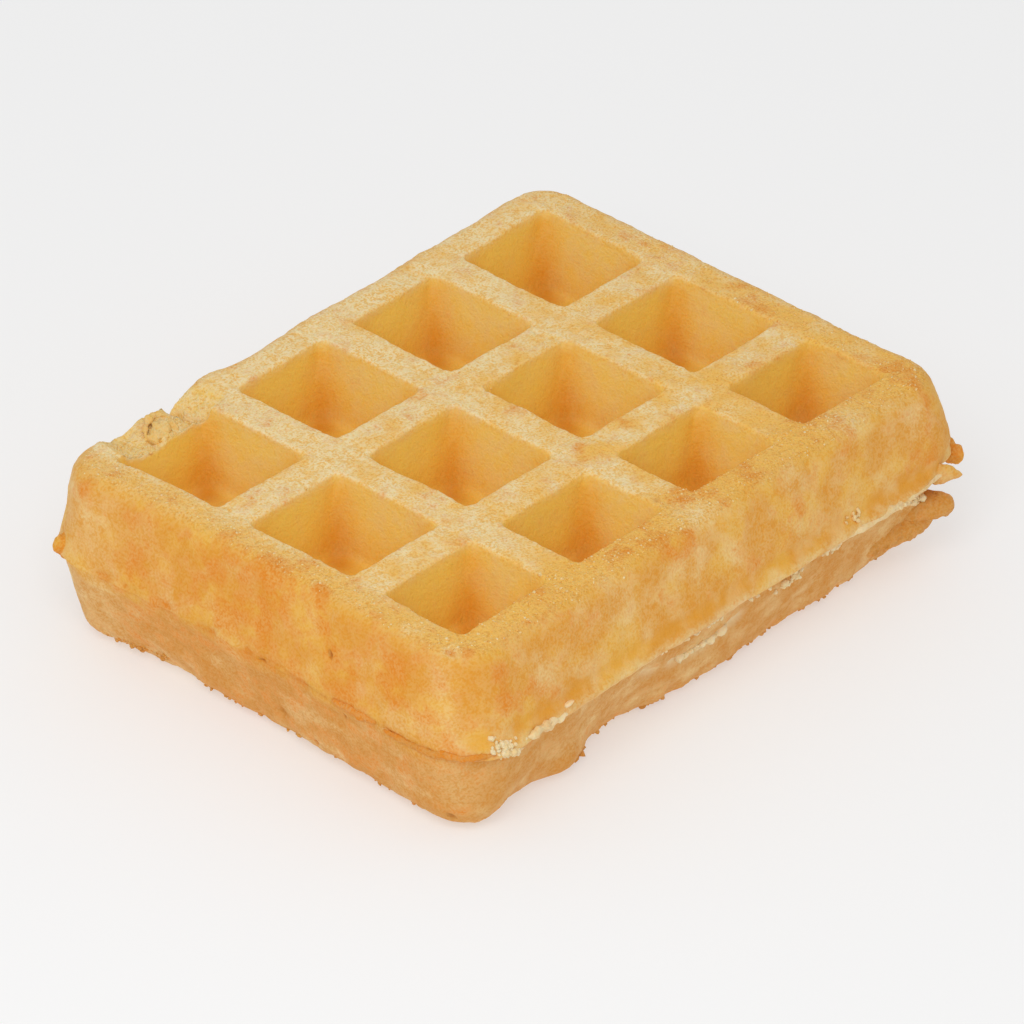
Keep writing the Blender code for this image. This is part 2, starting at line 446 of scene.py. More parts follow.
STROKES = (
    Stroke(
        Mark.CREASE,
        ((-2.225, -0.30, 0.595), (-2.236, -0.43, 0.585), (-2.238, -0.58, 0.585)),
        0.014,
        0.6,
    ),
    Stroke(
        Mark.CREASE,
        ((-2.239, -0.64, 0.588), (-2.245, -0.77, 0.580), (-2.25, -0.93, 0.579)),
        0.026,
    ),
    Stroke(
        Mark.CREASE,
        (
            (-2.241, -1.03, 0.556),
            (-2.25, -1.18, 0.565),
            (-2.253, -1.36, 0.600),
            (-2.243, -1.46, 0.598),
            (-2.19, -1.56, 0.600),
            (-2.11, -1.62, 0.605),
            (-2.03, -1.65, 0.615),
        ),
        0.018,
    ),
    Stroke(Mark.CREASE, ((-2.216, -0.995, 0.72), (-2.236, -1.02, 0.62)), 0.010, 0.4),
    Stroke(Mark.DENT, ((-2.23, 1.13, 0.61), (-2.23, 1.07, 0.61)), 0.030, 0.8),
    Stroke(Mark.DENT, ((-2.22, 0.95, 0.61), (-2.22, 0.88, 0.61)), 0.030, 0.8),
    Stroke(Mark.DENT, ((-2.22, 0.68, 0.61), (-2.22, 0.61, 0.61)), 0.030, 0.8),
    Stroke(Mark.DENT, ((-2.22, 0.38, 0.60), (-2.22, 0.29, 0.60)), 0.036, 1.0),
    *spots(Mark.DENT, 0.036, 1.0, (-2.23, 0.03, 0.60), (-2.23, -0.10, 0.60)),
    Stroke(Mark.DENT, ((-2.225, 0.03, 0.60), (-2.225, -0.26, 0.61)), 0.014, 0.7),
    *spots(Mark.DENT, 0.030, 1.0, (-2.11, -0.18, 0.21), (-2.09, -0.41, 0.12), (-2.03, -1.32, 1.16)),
    Stroke(Mark.TOAST, ((-2.07, -0.20, 1.15), (-2.14, 0.39, 1.10)), 0.10, 0.75),
    Stroke(
        Mark.TOAST,
        ((-2.12, -0.04, 1.10), (-2.17, -0.08, 0.96), (-2.20, -0.09, 0.70)),
        0.085,
        0.9,
    ),
    Stroke(
        Mark.TOAST,
        ((-2.08, -0.41, 1.147), (-2.17, -0.50, 0.98), (-2.18, -0.56, 0.84)),
        0.075,
        0.85,
    ),
    *spots(Mark.TOAST, 0.05, 0.9, (-2.195, -0.75, 0.83), (-2.19, -0.58, 0.88)),
    *spots(
        Mark.TOAST,
        0.09,
        0.7,
        (-2.197, -1.117, 0.87),
        (-2.176, 0.966, 1.02),
        (-2.16, 1.29, 1.12),
    ),
    Stroke(Mark.TOAST, ((-1.86, -1.55, 1.02), (-1.84, -1.57, 0.85)), 0.09, 0.75),
    Stroke(Mark.TOAST, ((-0.40, -1.50, 1.10), (-0.22, -1.50, 1.12)), 0.09, 0.8),
    Stroke(Mark.TOAST, ((-0.60, -1.37, 1.16), (-0.30, -1.42, 1.16)), 0.06, 0.8),
    *spots(Mark.TOAST, 0.08, 0.55, (1.75, -1.44, 1.155), (0.40, -1.42, 1.16), (-2.18, 0.57, 0.80)),
    *spots(
        Mark.CREAM,
        0.045,
        0.7,
        (-2.209, -0.84, 0.745),
        (-2.22, 1.03, 0.67),
        (-2.18, 1.21, 0.40),
    ),
    *spots(
        Mark.CREAM,
        0.06,
        0.7,
        (-2.231, -1.12, 0.66),
        (-2.03, -1.02, 1.16),
        (-2.03, -1.32, 1.155),
    ),
    Stroke(
        Mark.CREAM,
        ((-2.13, -1.32, 1.08), (-2.174, -1.428, 0.81), (-2.15, -1.52, 0.68)),
        0.075,
        0.65,
    ),
    Stroke(Mark.CREAM, ((-2.18, -1.45, 0.46), (-2.15, -1.48, 0.30)), 0.13, 0.55),
    Stroke(Mark.CREAM, ((-2.22, -1.20, 0.70), (-2.22, -1.36, 0.70)), 0.06, 0.6),
    Stroke(Mark.CREAM, ((-0.84, -1.51, 1.07), (-0.72, -1.53, 0.95)), 0.12, 0.5),
    *spots(Mark.CREAM, 0.14, 0.8, (1.33, -1.42, 1.15), (-0.02, -1.42, 1.16)),
    *spots(Mark.BURN, 0.011, 1.0, (-2.187, -0.572, 0.84)),
    *spots(
        Mark.BURN,
        0.007,
        0.8,
        (-2.214, -0.708, 0.50),
        (-2.22, -0.10, 0.59),
        (-2.085, -1.433, 0.12),
    ),
    Stroke(Mark.BURN, ((-1.73, -1.66, 0.612), (-1.58, -1.65, 0.614)), 0.020, 0.7),
    *spots(
        Mark.BURN,
        0.020,
        0.45,
        (-2.11, -0.18, 0.21),
        (-2.09, -0.41, 0.12),
        (-0.09, -1.17, 1.165),
    ),
    Stroke(Mark.TEAR, ((-0.34, -1.55, 0.38), (-0.05, -1.53, 0.36), (0.23, -1.56, 0.44)), 0.035),
    Stroke(Mark.TEAR, ((-0.60, -1.55, 0.44), (-0.50, -1.55, 0.38)), 0.035, 0.6),
)

# The far left of the rim has crumbled away: places along it and how far it is sunk, in pitches.
RIM_BREAK = (
    (-1.84, 0.0),
    (-1.76, 0.075),
    (-1.69, 0.125),
    (-1.52, 0.150),
    (-1.45, 0.095),
    (-1.25, 0.095),
    (-1.19, 0.135),
    (-1.16, 0.210),
    (-1.135, 0.135),
    (-1.08, 0.075),
    (-1.00, 0.020),
    (-0.95, 0.0),
)


@dataclass
class Surface:
    """A mesh in the making: its points, its faces, and a value of each attribute at each point.

    Each entry of faces holds the corners of faces with as many corners each, one face a row.
    """

    points: np.ndarray
    faces: list[np.ndarray]
    attributes: dict[str, np.ndarray]

    def normals(self) -> np.ndarray:
        """The outward direction at each point."""
        return point_normals(self.points, self.faces[0])

    def areas(self) -> np.ndarray:
        """The area of crust that each point stands for: a quarter of each face round it.

        Returns:
            (n,) areas.
        """
        corners = self.points[self.faces[0]]
        across = corners[:, 2] - corners[:, 0]
        along = corners[:, 3] - corners[:, 1]
        quarter = np.linalg.norm(np.cross(across, along), axis=1) / 8
        return np.bincount(self.faces[0].ravel(), np.repeat(quarter, 4), len(self.points))

    def to_object(self, name: str, material: bpy.types.Material) -> bpy.types.Object:
        """Writes the mesh, shaded smooth, and links an object that holds it at the origin.

        Args:
            name: The piece's name.
            material: Its finish.

        Returns:
            The new object, riding on the waffle's body.
        """
        mesh = bpy.data.meshes.new(name)
        loops = np.concatenate([faces.ravel() for faces in self.faces]).astype(np.int32)
        sizes = np.concatenate([np.full(len(faces), faces.shape[1]) for faces in self.faces])
        starts = np.concatenate([[0], np.cumsum(sizes)[:-1]]).astype(np.int32)
        mesh.vertices.add(len(self.points))
        mesh.vertices.foreach_set("co", self.points.astype(np.float32).ravel())
        mesh.loops.add(len(loops))
        mesh.loops.foreach_set("vertex_index", loops)
        mesh.polygons.add(len(sizes))
        mesh.polygons.foreach_set("loop_start", starts)
        mesh.polygons.foreach_set("use_smooth", np.ones(len(sizes), dtype=bool))
        mesh.update(calc_edges=True)
        for key, values in self.attributes.items():
            layer = mesh.attributes.new(key, "FLOAT", "POINT")
            layer.data.foreach_set("value", values.astype(np.float32))
        mesh.validate()
        mesh.materials.append(material)
        piece = bpy.data.objects.new(name, mesh)
        bpy.context.scene.collection.objects.link(piece)
        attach(piece, BODY)
        mesh.calc_loop_triangles()
        log.info("%s: %d points, %d triangles", name, len(mesh.vertices), len(mesh.loop_triangles))
        return piece


def point_normals(points: np.ndarray, quads: np.ndarray) -> np.ndarray:
    """The outward direction at each point: the sum of its faces' cross products, at length 1.

    Args:
        points: (n, 3) places.
        quads: (m, 4) corners of the faces.

    Returns:
        (n, 3) directions.
    """
    across = points[quads[:, 2]] - points[quads[:, 0]]
    along = points[quads[:, 3]] - points[quads[:, 1]]
    face = np.cross(across, along)
    normals = np.zeros_like(points)
    for corner in range(4):
        for axis in range(3):
            normals[:, axis] += np.bincount(quads[:, corner], face[:, axis], len(points))
    return unit(normals)


def sheet_quads(rows: int, columns: int) -> np.ndarray:
    """(n, 4) corners of the faces of a grid of points, counted along its rows."""
    first = np.arange((rows - 1) * columns).reshape(rows - 1, columns)[:, :-1].ravel()
    return np.stack([first, first + 1, first + columns + 1, first + columns], axis=1)


def band_quads(upper: np.ndarray, lower: np.ndarray) -> np.ndarray:
    """(n, 4) corners of the faces between two closed rings of as many points each."""
    return np.stack([upper, lower, np.roll(lower, -1), np.roll(upper, -1)], axis=1)


def strongest(mark: Mark, places: np.ndarray) -> np.ndarray:
    """The strongest of all strokes of one kind at each point of a shell."""
    masks = [stroke.mask(places) for stroke in STROKES if stroke.mark is mark]
    return np.max(masks, axis=0)


@dataclass
class Anatomy:
    """What each point of a half belongs to.

    On_wall is 0 on the face and 1 down the outer wall, depth is the share of a pocket's depth,
    inset is how far inside a mouth it lies, and nook is 1 where two walls of a pocket meet, where
    the finish paints shade in the pocket corners.
    """

    on_wall: np.ndarray
    depth: np.ndarray
    inset: np.ndarray
    nook_shade: np.ndarray


class CrustHalf:
    """One baked half as a closed shell, worked out in pitches and metres from its sizes."""

    LIP_TURNS = 4
    EDGE_TURNS = 8
    WALL_ROWS = 17
    OVERLAP = 0.5 * MM
    NOISE_SEED = 11
    # Below the first height nothing moves up or down, and from the second on all of it does
    FREE_HEIGHTS = (6.0 * MM, 12.0 * MM)
    # How much of what stood above the broken rim is left standing
    RUBBLE = 0.05
    # Added to the rim's height where it is whole, so that it presses nothing down
    OUT_OF_REACH = 10.0 * MM
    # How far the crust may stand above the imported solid
    HEADROOM = 0.4 * MM

    def __init__(self, grid: PocketGrid, sizes: HalfSizes, seam: float) -> None:
        """Keeps what the half is worked out from.

        Args:
            grid: The grid of pockets, as the top face has it.
            sizes: This half's sizes.
            seam: The height of the seam.
        """
        self.sizes = sizes
        self.seam = seam
        self.pitch = grid.pitch
        self.middle = np.array([grid.middle_x, grid.middle_y])
        self.grid = PocketGrid(
            grid.pitch,
            grid.middle_x,
            grid.middle_y,
            grid.columns,
            grid.rows,
            scale=sizes.grid_scale,
        )
        self.profile = WallProfile(sizes.pocket_depth * grid.pitch, sizes.wall_draft * grid.pitch)
        self.noise = CrustNoise(self.NOISE_SEED)

    def _flat_half(self) -> np.ndarray:
        """Half the length and width of the face inside its rounded edge."""
        return (np.array(self.sizes.face_half) - self.sizes.edge_radius) * self.pitch

    def _flat_middle(self) -> np.ndarray:
        """The middle of that face."""
        return self.middle + np.array(self.sizes.face_shift) * self.pitch

    @staticmethod
    def _between(low: float, high: float, step: float) -> np.ndarray:
        """Evenly spaced places between two ends, without the ends."""
        count = max(int(round((high - low) / step)), 2)
        return np.linspace(low, high, count + 1)[1:-1]

    def _lines(self, sides: np.ndarray, low_edge: float, high_edge: float) -> np.ndarray:
        """Places the grid lines along one axis: dense on the walls, wider on ribs and floors.

        Args:
            sides: (n, 2) low and high side of each mouth.
            low_edge: Where the flat face begins.
            high_edge: Where it ends.

        Returns:
            The lines' places.
        """
        stations = self.profile.stations()
        parts = [[low_edge]]
        reached = low_edge
        for low, high in sides:
            parts.append(self._between(reached, low + stations[0], self.sizes.rib_step))
            parts.append(low + stations)
            parts.append(
                self._between(low + stations[-1], high - stations[-1], self.sizes.floor_step)
            )
            parts.append(high - stations[::-1])
            reached = high - stations[0]
        parts.append(self._between(reached, high_edge, self.sizes.rib_step))
        parts.append([high_edge])
        return np.concatenate(parts)

    def _corner_shares(self, x: np.ndarray, y: np.ndarray) -> tuple[np.ndarray, np.ndarray]:
        """How far into its corner square each place lies, from 0 to 1, signed.

        Args:
            x: (n,) places along X from the face's middle.
            y: (n,) places along Y.

        Returns:
            (n,) shares along X and (n,) shares along Y.
        """
        radius = self.sizes.corner_radius * self.pitch
        straight = self._flat_half() - radius
        share_x = np.clip((np.abs(x) - straight[0]) / radius, 0.0, 1.0)
        share_y = np.clip((np.abs(y) - straight[1]) / radius, 0.0, 1.0)
        return np.sign(x) * share_x, np.sign(y) * share_y

    def _rounded(self, x: np.ndarray, y: np.ndarray) -> tuple[np.ndarray, np.ndarray]:
        """Bends each corner square into a quarter disc: a sqrt(1 - b^2/2), b sqrt(1 - a^2/2).

        Args:
            x: (n,) places along X from the face's middle.
            y: (n,) places along Y.

        Returns:
            (n,) places along X and (n,) places along Y.
        """
        radius = self.sizes.corner_radius * self.pitch
        a, b = self._corner_shares(x, y)
        round_x = x + radius * a * (np.sqrt(1 - b**2 / 2) - 1)
        round_y = y + radius * b * (np.sqrt(1 - a**2 / 2) - 1)
        return round_x, round_y

    def _lips(self, ring: np.ndarray) -> tuple[np.ndarray, np.ndarray]:
        """How round the edge at the seam is, and how far in the crust is tucked below it.

        Along the front the lip overhangs, so it is rounder and tucked in further.

        Args:
            ring: (n, 2) places along the outline.

        Returns:
            (n,) radii and (n,) tucks, in metres.
        """
        x, y = ((ring - self.middle) / self.pitch).T
        front = smooth_step(-1.40, -1.60, y) * smooth_step(-2.05, -1.8, x)
        return (0.03 + 0.30 * front) * MM, (0.7 + 1.6 * front) * MM

    def _wall_levels(self, lip: np.ndarray, tuck: np.ndarray) -> tuple[np.ndarray, np.ndarray]:
        """Reach past the flat face, and height above the seam, down the outer wall.

        The edge is a quarter circle, the wall a straight draft down to the lip, and the lip a
        quarter circle that turns in under the half. Below it the crust is tucked in.

        Args:
            lip: (n,) radius of the lip at each place of the outline.
            tuck: (n,) how far in the crust is tucked below the lip.

        Returns:
            (rows, n) reach and (rows, n) height.
        """
        edge = self.sizes.edge_radius * self.pitch
        height = self.sizes.height * self.pitch
        turn = np.linspace(0.0, math.pi / 2, self.EDGE_TURNS + 1)[1:, None]
        flat = np.ones((1, len(lip)))
        reach = [edge * np.sin(turn) * flat]
        level = [(height - edge * (1 - np.cos(turn))) * flat]
        down = np.linspace(0.0, 1.0, self.WALL_ROWS + 1)[1:, None]
        start = height - edge
        reach.append(edge * np.ones((self.WALL_ROWS, len(lip))))
        level.append(start + (lip - start) * (1 - (1 - down) ** 1.4))
        curl = np.linspace(0.0, math.pi / 2, self.LIP_TURNS + 1)[1:, None]
        reach.append(edge - lip * (1 - np.cos(curl)))
        level.append(lip * (1 - np.sin(curl)))
        reach.append(edge - tuck[None])
        level.append(-self.OVERLAP * flat)
        return np.concatenate(reach), np.concatenate(level)

    def surface(self) -> Surface:
        """Works out the half.

        Returns:
            Its closed surface, with what the finish reads at each point.
        """
        half = self._flat_half()
        middle = self._flat_middle()
        lines_x = self._lines(self.grid.sides_x() - middle[0], -half[0], half[0])
        lines_y = self._lines(self.grid.sides_y() - middle[1], -half[1], half[1])
        count_x, count_y = len(lines_x), len(lines_y)
        flat_x, flat_y = (part.ravel() for part in np.meshgrid(lines_x, lines_y))
        x, y = self._rounded(flat_x, flat_y)
        x, y = x + middle[0], y + middle[1]
        ripple = self.noise.layered(np.stack([x, y, 0 * x], axis=1), 1.6 * MM, 2)
        inset = self.grid.inset(x, y) + 0.05 * MM * ripple
        drop = self.profile.drop_at(inset)
        height = self.sizes.height * self.pitch
        face = np.stack([x, y, height - drop], axis=1)

        index = np.arange(count_x * count_y).reshape(count_y, count_x)
        ring = np.concatenate(
            [index[0, :-1], index[:-1, -1], index[-1, :0:-1], index[:0:-1, 0]]
        )
        normal = np.stack(self._corner_shares(flat_x[ring], flat_y[ring]), axis=1)
        normal = normal * np.sqrt(1 - normal[:, ::-1] ** 2 / 2)
        growth_size = (np.array(self.sizes.seam_half) - self.sizes.face_half) * self.pitch
        shift = (np.array(self.sizes.seam_shift) - self.sizes.face_shift) * self.pitch
        reach, level = self._wall_levels(*self._lips(face[ring, :2]))
        growth = np.minimum((height - level) / height, 1.0)
        drafted = growth[..., None] * (normal * growth_size + shift)
        wall = face[ring, :2] + reach[..., None] * normal + drafted
        wall = np.concatenate([wall, level[..., None]], axis=2)
        rows = len(reach)
        size = len(ring)
        rings = np.concatenate([ring[None], len(face) + np.arange(rows * size).reshape(rows, size)])

        points = np.concatenate([face, wall.reshape(-1, 3)])
        quads = np.concatenate(
            [sheet_quads(count_y, count_x)]
            + [band_quads(rings[row], rings[row + 1]) for row in range(rows)]
        )
        last = rings[-1]
        bottom = last[:count_x]
        top = last[count_x + count_y - 2 : 2 * count_x + count_y - 2][::-1]
        cap = np.stack([bottom[1:-2], top[1:-2], top[2:-1], bottom[2:-1]], axis=1)
        right = last[count_x - 2 : count_x + count_y]
        left = np.concatenate([last[2 * count_x + count_y - 4 :], last[:2]])
        quads = np.concatenate([quads, cap])
        ends = [right[None, ::-1], left[None, ::-1]]

        anatomy = self._anatomy(face, drop, inset, reach)
        if self.sizes.facing is Facing.DOWN:
            points[:, 2] *= -1.0
            quads = quads[:, ::-1]
            ends = [end[:, ::-1] for end in ends]
        points[:, 2] += self.seam
        points = self._pushed(points)
        masks = {mark: strongest(mark, self._places(points)) for mark in Mark}
        points = self._uneven(points, quads, anatomy, masks)
        attributes = self._marks(points, point_normals(points, quads), anatomy, masks)
        return Surface(points, [quads, *ends], attributes)

    def _anatomy(
        self, face: np.ndarray, drop: np.ndarray, inset: np.ndarray, reach: np.ndarray
    ) -> Anatomy:
        """Sorts the points of the face and of the wall's rings by what they belong to.

        Args:
            face: (n, 3) points of the face.
            drop: (n,) how far each lies below the rib tops.
            inset: (n,) how far each lies inside a mouth.
            reach: (rows, m) reach of the wall's rings past the flat face.

        Returns:
            What each point belongs to, the face first.
        """
        count = len(face) + reach.size
        anatomy = Anatomy(np.ones(count), np.zeros(count), np.full(count, -1.0), np.zeros(count))
        edge = self.sizes.edge_radius * self.pitch
        anatomy.on_wall[: len(face)] = 0.0
        anatomy.on_wall[len(face) : -reach.shape[1]] = np.clip(reach[:-1] / edge, 0.0, 1.0).ravel()
        anatomy.depth[: len(face)] = drop / self.profile.depth
        anatomy.inset[: len(face)] = inset
        # The corner mask below is where the finish paints shade in the pocket corners.
        apart = self.grid.unevenness(face[:, 0], face[:, 1])
        walls = smooth_step(0.0, 0.20, drop / self.profile.depth)
        walls = walls * smooth_step(7.0 * MM, 3.0 * MM, inset)
        anatomy.nook_shade[: len(face)] = np.exp(-((apart / (3.2 * MM)) ** 2)) * walls
        return anatomy

    def _places(self, points: np.ndarray) -> np.ndarray:
        """The points in pitches from the waffle's middle, as the sizes are stated."""
        return (points - np.array([*self.middle, 0.0])) / self.pitch

    def _pushed(self, points: np.ndarray) -> np.ndarray:
        """Moves the points by every push, then presses the broken stretch of rim down.

        Near the base nothing moves up or down, so that the waffle still lies flat.

        Args:
            points: (n, 3) places.

        Returns:
            (n, 3) moved places.
        """
        places = self._places(points)
        moved = points.copy()
        upright = smooth_step(*self.FREE_HEIGHTS, points[:, 2])
        for push in PUSHES:
            distance = np.linalg.norm(places - push.place, axis=1) / push.size
            move = np.exp(-(distance**2))[:, None] * np.array(push.move) * self.pitch
            move[:, 2] *= upright
            moved += move
        _, top = self._rim_break(moved)
        pressed = top + self.RUBBLE * (moved[:, 2] - top)
        moved[:, 2] = np.where(moved[:, 2] > top, pressed, moved[:, 2])
        return moved

    def _rim_break(self, points: np.ndarray) -> tuple[np.ndarray, np.ndarray]:
        """How broken the rim is at each point, and how high its crust stands there.

        Args:
            points: (n, 3) places.

        Returns:
            (n,) how broken, from 0 to 1, and (n,) heights, out of reach where it is whole.
        """
        x, y, _ = self._places(points).T
        flat = points * [1.0, 1.0, 0.0]
        wander = 0.02 * self.noise.layered(flat, 4.0 * MM, 2)
        sunk = np.interp(x + wander, *np.array(RIM_BREAK).T) * smooth_step(1.26, 1.33, y)
        broken = smooth_step(0.0, 0.04, sunk)
        sunk = sunk * (1.0 + 0.25 * self.noise.layered(flat, 2.4 * MM, 3))
        sunk = sunk + 0.015 * broken * self.noise.layered(flat, 1.3 * MM, 2)
        whole = broken < 0.01
        top = (2 * self.seam / self.pitch - sunk) * self.pitch
        return broken, top + whole * self.OUT_OF_REACH

    def _uneven(
        self, points: np.ndarray, quads: np.ndarray, anatomy: Anatomy, masks: dict[Mark, np.ndarray]
    ) -> np.ndarray:
        """Raises and sinks the crust along its normals, then gnaws the foot of the outer wall.

        It is a sum of broad and fine noise, pebbles on the ribs, the sunk marks, and on the upper
        half's front a lip that swells just above the seam under a shallow groove.

        Args:
            points: (n, 3) places.
            quads: (m, 4) corners of the faces.
            anatomy: What each point belongs to.
            masks: How strongly each kind of stroke marks each point.

        Returns:
            (n, 3) moved places.
        """
        noise = self.noise
        on_wall = anatomy.on_wall
        normals = point_normals(points, quads)
        places = self._places(points)
        above = places[:, 2] - self.seam / self.pitch
        normals[:, 2] *= 1.0 - on_wall * smooth_step(0.040, 0.004, np.abs(above))
        normals = unit(normals)
        on_rib = smooth_step(0.3 * MM, -0.2 * MM, anatomy.inset) * (1.0 - on_wall)
        amount = 0.20 * noise.layered(points, 9.0 * MM, 2)
        amount += noise.layered(points, 1.3 * MM, 2) * (0.13 * on_rib + 0.06 * on_wall + 0.02)
        amount += 0.10 * on_wall * noise.layered(points, 3.4 * MM, 2)
        amount -= 0.30 * masks[Mark.CREASE] + 0.35 * masks[Mark.DENT] + 0.8 * masks[Mark.TEAR]
        amount -= 0.5 * masks[Mark.BURN]
        front = smooth_step(-1.45, -1.58, places[:, 1]) * on_wall
        if self.sizes.facing is Facing.UP:
            swell = 0.60 * np.exp(-(((above - 0.030) / 0.030) ** 2))
            swell -= 0.30 * np.exp(-(((above - 0.105) / 0.035) ** 2))
            amount += front * swell * (0.8 + 0.6 * noise.layered(points, 6.0 * MM, 2))
        moved = points + normals * (amount * MM)[:, None]

        low = smooth_step(0.24, 0.03, self._places(moved)[:, 2]) * on_wall
        ragged = noise.layered(moved * [1.0, 1.0, 0.4], 3.6 * MM, 4)
        bites = smooth_step(0.25, 0.75, noise.layered(moved * [1.0, 1.0, 0.3], 7.0 * MM, 2))
        moved[:, :2] += normals[:, :2] * (low * (0.55 * ragged - 0.9 * bites) * MM)[:, None]
        moved[:, 2] = np.clip(moved[:, 2], 0.0, CAD_BOX[1].z + self.HEADROOM)
        return moved

    def _marks(
        self,
        points: np.ndarray,
        normals: np.ndarray,
        anatomy: Anatomy,
        masks: dict[Mark, np.ndarray],
    ) -> dict[str, np.ndarray]:
        """What the finish reads at each point, each from 0 to 1.

        Pale is cream crust, and on pocket walls that face -X, towards the lamp, also painted light;
        toast the browner patches; burn the brown of creases and specks, and painted shade deep in
        the pockets; nook the painted shade of pocket corners, floors and the front groove, a deeper
        orange; rib the tops of the ribs, wall the outer wall, under the lower half, crumb the torn
        inside, and grit how pebbly the crust is.

        Args:
            points: (n, 3) places.
            normals: (n, 3) outward directions.
            anatomy: What each point belongs to.
            masks: How strongly each kind of stroke marks each point.

        Returns:
            (n,) values of each mark, by name.
        """
        noise = self.noise
        on_wall = anatomy.on_wall
        x, y, z = self._places(points).T
        patch = noise.layered(points, 9.0 * MM, 3)
        rib = smooth_step(0.35 * MM, -0.25 * MM, anatomy.inset)
        rib = rib * (1.0 - smooth_step(0.3, 1.0, on_wall))
        left = smooth_step(-1.80, -1.98, x)
        near = smooth_step(-1.05, -1.30, y)
        far = smooth_step(1.80, 1.95, x)
        rim = np.maximum(np.maximum(left, near), 0.35 * far)
        pale = 0.62 + 0.30 * y - 0.10 * x + 0.75 * noise.layered(points, 6.0 * MM, 3)
        pale = rib * np.clip(pale * (1.0 - 0.82 * rim) - 0.22 * near, 0.0, 1.0)
        front = smooth_step(-1.45, -1.58, y) * on_wall
        above = z - self.seam / self.pitch
        ridge = np.exp(-(((above - 0.030) / 0.026) ** 2)) * front
        groove = np.exp(-(((above - 0.100) / 0.028) ** 2)) * front
        streaks = noise.layered(points * [0.4, 0.4, 1.0], 3.0 * MM, 3)
        side = 0.40 * smooth_step(0.0, 0.8, noise.layered(points, 7.0 * MM, 3))
        low = smooth_step(0.03, -0.10, above) * (1.0 - 0.6 * front)
        hidden = np.maximum(smooth_step(1.4, 1.6, y), smooth_step(1.9, 2.1, x))
        side = side + (0.60 - 0.25 * hidden) * low * smooth_step(0.0, 0.8, streaks)
        side_left = smooth_step(-1.9, -2.1, x) * on_wall
        left_end = smooth_step(0.80, 1.25, y) * side_left
        side = side + 0.12 * front * smooth_step(0.10, 0.20, above) + 0.30 * left_end
        pale = np.maximum(np.maximum(pale, on_wall * side), 0.6 * ridge)
        pale = np.maximum(pale * (1.0 - 0.6 * masks[Mark.TOAST]), 0.75 * masks[Mark.CREAM])

        toast = rib * (0.20 + 0.42 * rim) * smooth_step(-0.3, 0.7, patch)
        upper = on_wall * smooth_step(0.56, 0.66, z)
        toast = np.maximum(toast, upper * smooth_step(-0.2, 1.1, patch + 0.30 * side_left) * 0.80)
        toast = np.maximum(toast, 0.42 * side_left) * (1.0 - 0.7 * left_end)
        toast = np.maximum(toast, masks[Mark.TOAST])
        toast = np.maximum(toast, masks[Mark.DENT])
        foot = smooth_step(0.20, 0.0, z) * on_wall
        toast = np.maximum(toast, foot * (0.30 + 0.45 * smooth_step(-0.5, 0.6, patch)))
        sharp_seam = smooth_step(-1.45, -1.60, y)
        blend = smooth_step(0.05, -0.12, above + 0.05 * streaks + 0.04 * patch)
        under = sharp_seam * (above < 0.0) + (1.0 - sharp_seam) * blend

        toast = np.maximum(toast, 0.9 * masks[Mark.CREASE])
        # Painted shade: corners, deep floors and insides of the pockets go a deeper orange.
        inside = smooth_step(0.0, 0.10, anatomy.depth)
        deep = 0.8 + 0.35 * noise.layered(points, 8.0 * MM, 2)
        deep = smooth_step(0.35, 1.0, anatomy.depth) * deep
        nook_shade = anatomy.nook_shade * (0.54 + 0.30 * anatomy.depth) + 0.25 * deep + 0.06 * inside
        nook_shade = np.clip(nook_shade, 0.0, 1.0)
        # Painted shade: burn darkens the deepest floors and corners of the pockets.
        burn = 0.08 * smooth_step(0.60, 1.0, anatomy.depth) + 0.20 * anatomy.nook_shade * anatomy.depth**2
        burn = np.maximum(burn, 0.40 * masks[Mark.CREASE] + 0.15 * masks[Mark.DENT])
        # Painted light: pocket walls that face -X, towards the lamp, go paler.
        painted_light_left = smooth_step(0.3, 0.9, -normals[:, 0])
        pale = np.maximum(pale, 0.42 * inside * painted_light_left * (1.0 - nook_shade))

        broken, top = self._rim_break(points)
        broken = broken * smooth_step(-1.2 * MM, -0.2 * MM, points[:, 2] - top)
        crumbly = 0.80 + 0.4 * noise.layered(points, 2.4 * MM, 2)
        pale = np.maximum(pale * (1.0 - broken), broken * crumbly)
        seam = np.exp(-(((above + 0.006) / 0.016) ** 2)) * front
        torn = 0.32 + 0.25 * smooth_step(0.5, 1.2, x) + 0.6 * noise.layered(points, 4.0 * MM, 2)
        crumb = np.maximum(seam * np.clip(torn, 0.0, 1.0), 0.75 * masks[Mark.TEAR])
        toast = toast * (1.0 - 0.8 * broken)
        return {
            "pale": np.clip(pale, 0.0, 1.0),
            "toast": np.clip(toast, 0.0, 1.0),
            "burn": np.maximum(burn, masks[Mark.BURN]),
            # Painted shade in the groove above the front lip.
            "nook_shade": np.maximum(nook_shade, 0.30 * groove),
            "rib": np.maximum(rib * (1.0 - broken), 0.6 * broken),
            "wall": on_wall * (1.0 - broken),
            "under": under * on_wall,
            "crumb": crumb,
            "grit": np.clip(rib * (0.35 + 0.65 * rim) + 0.5 * broken, 0.0, 1.0),
        }


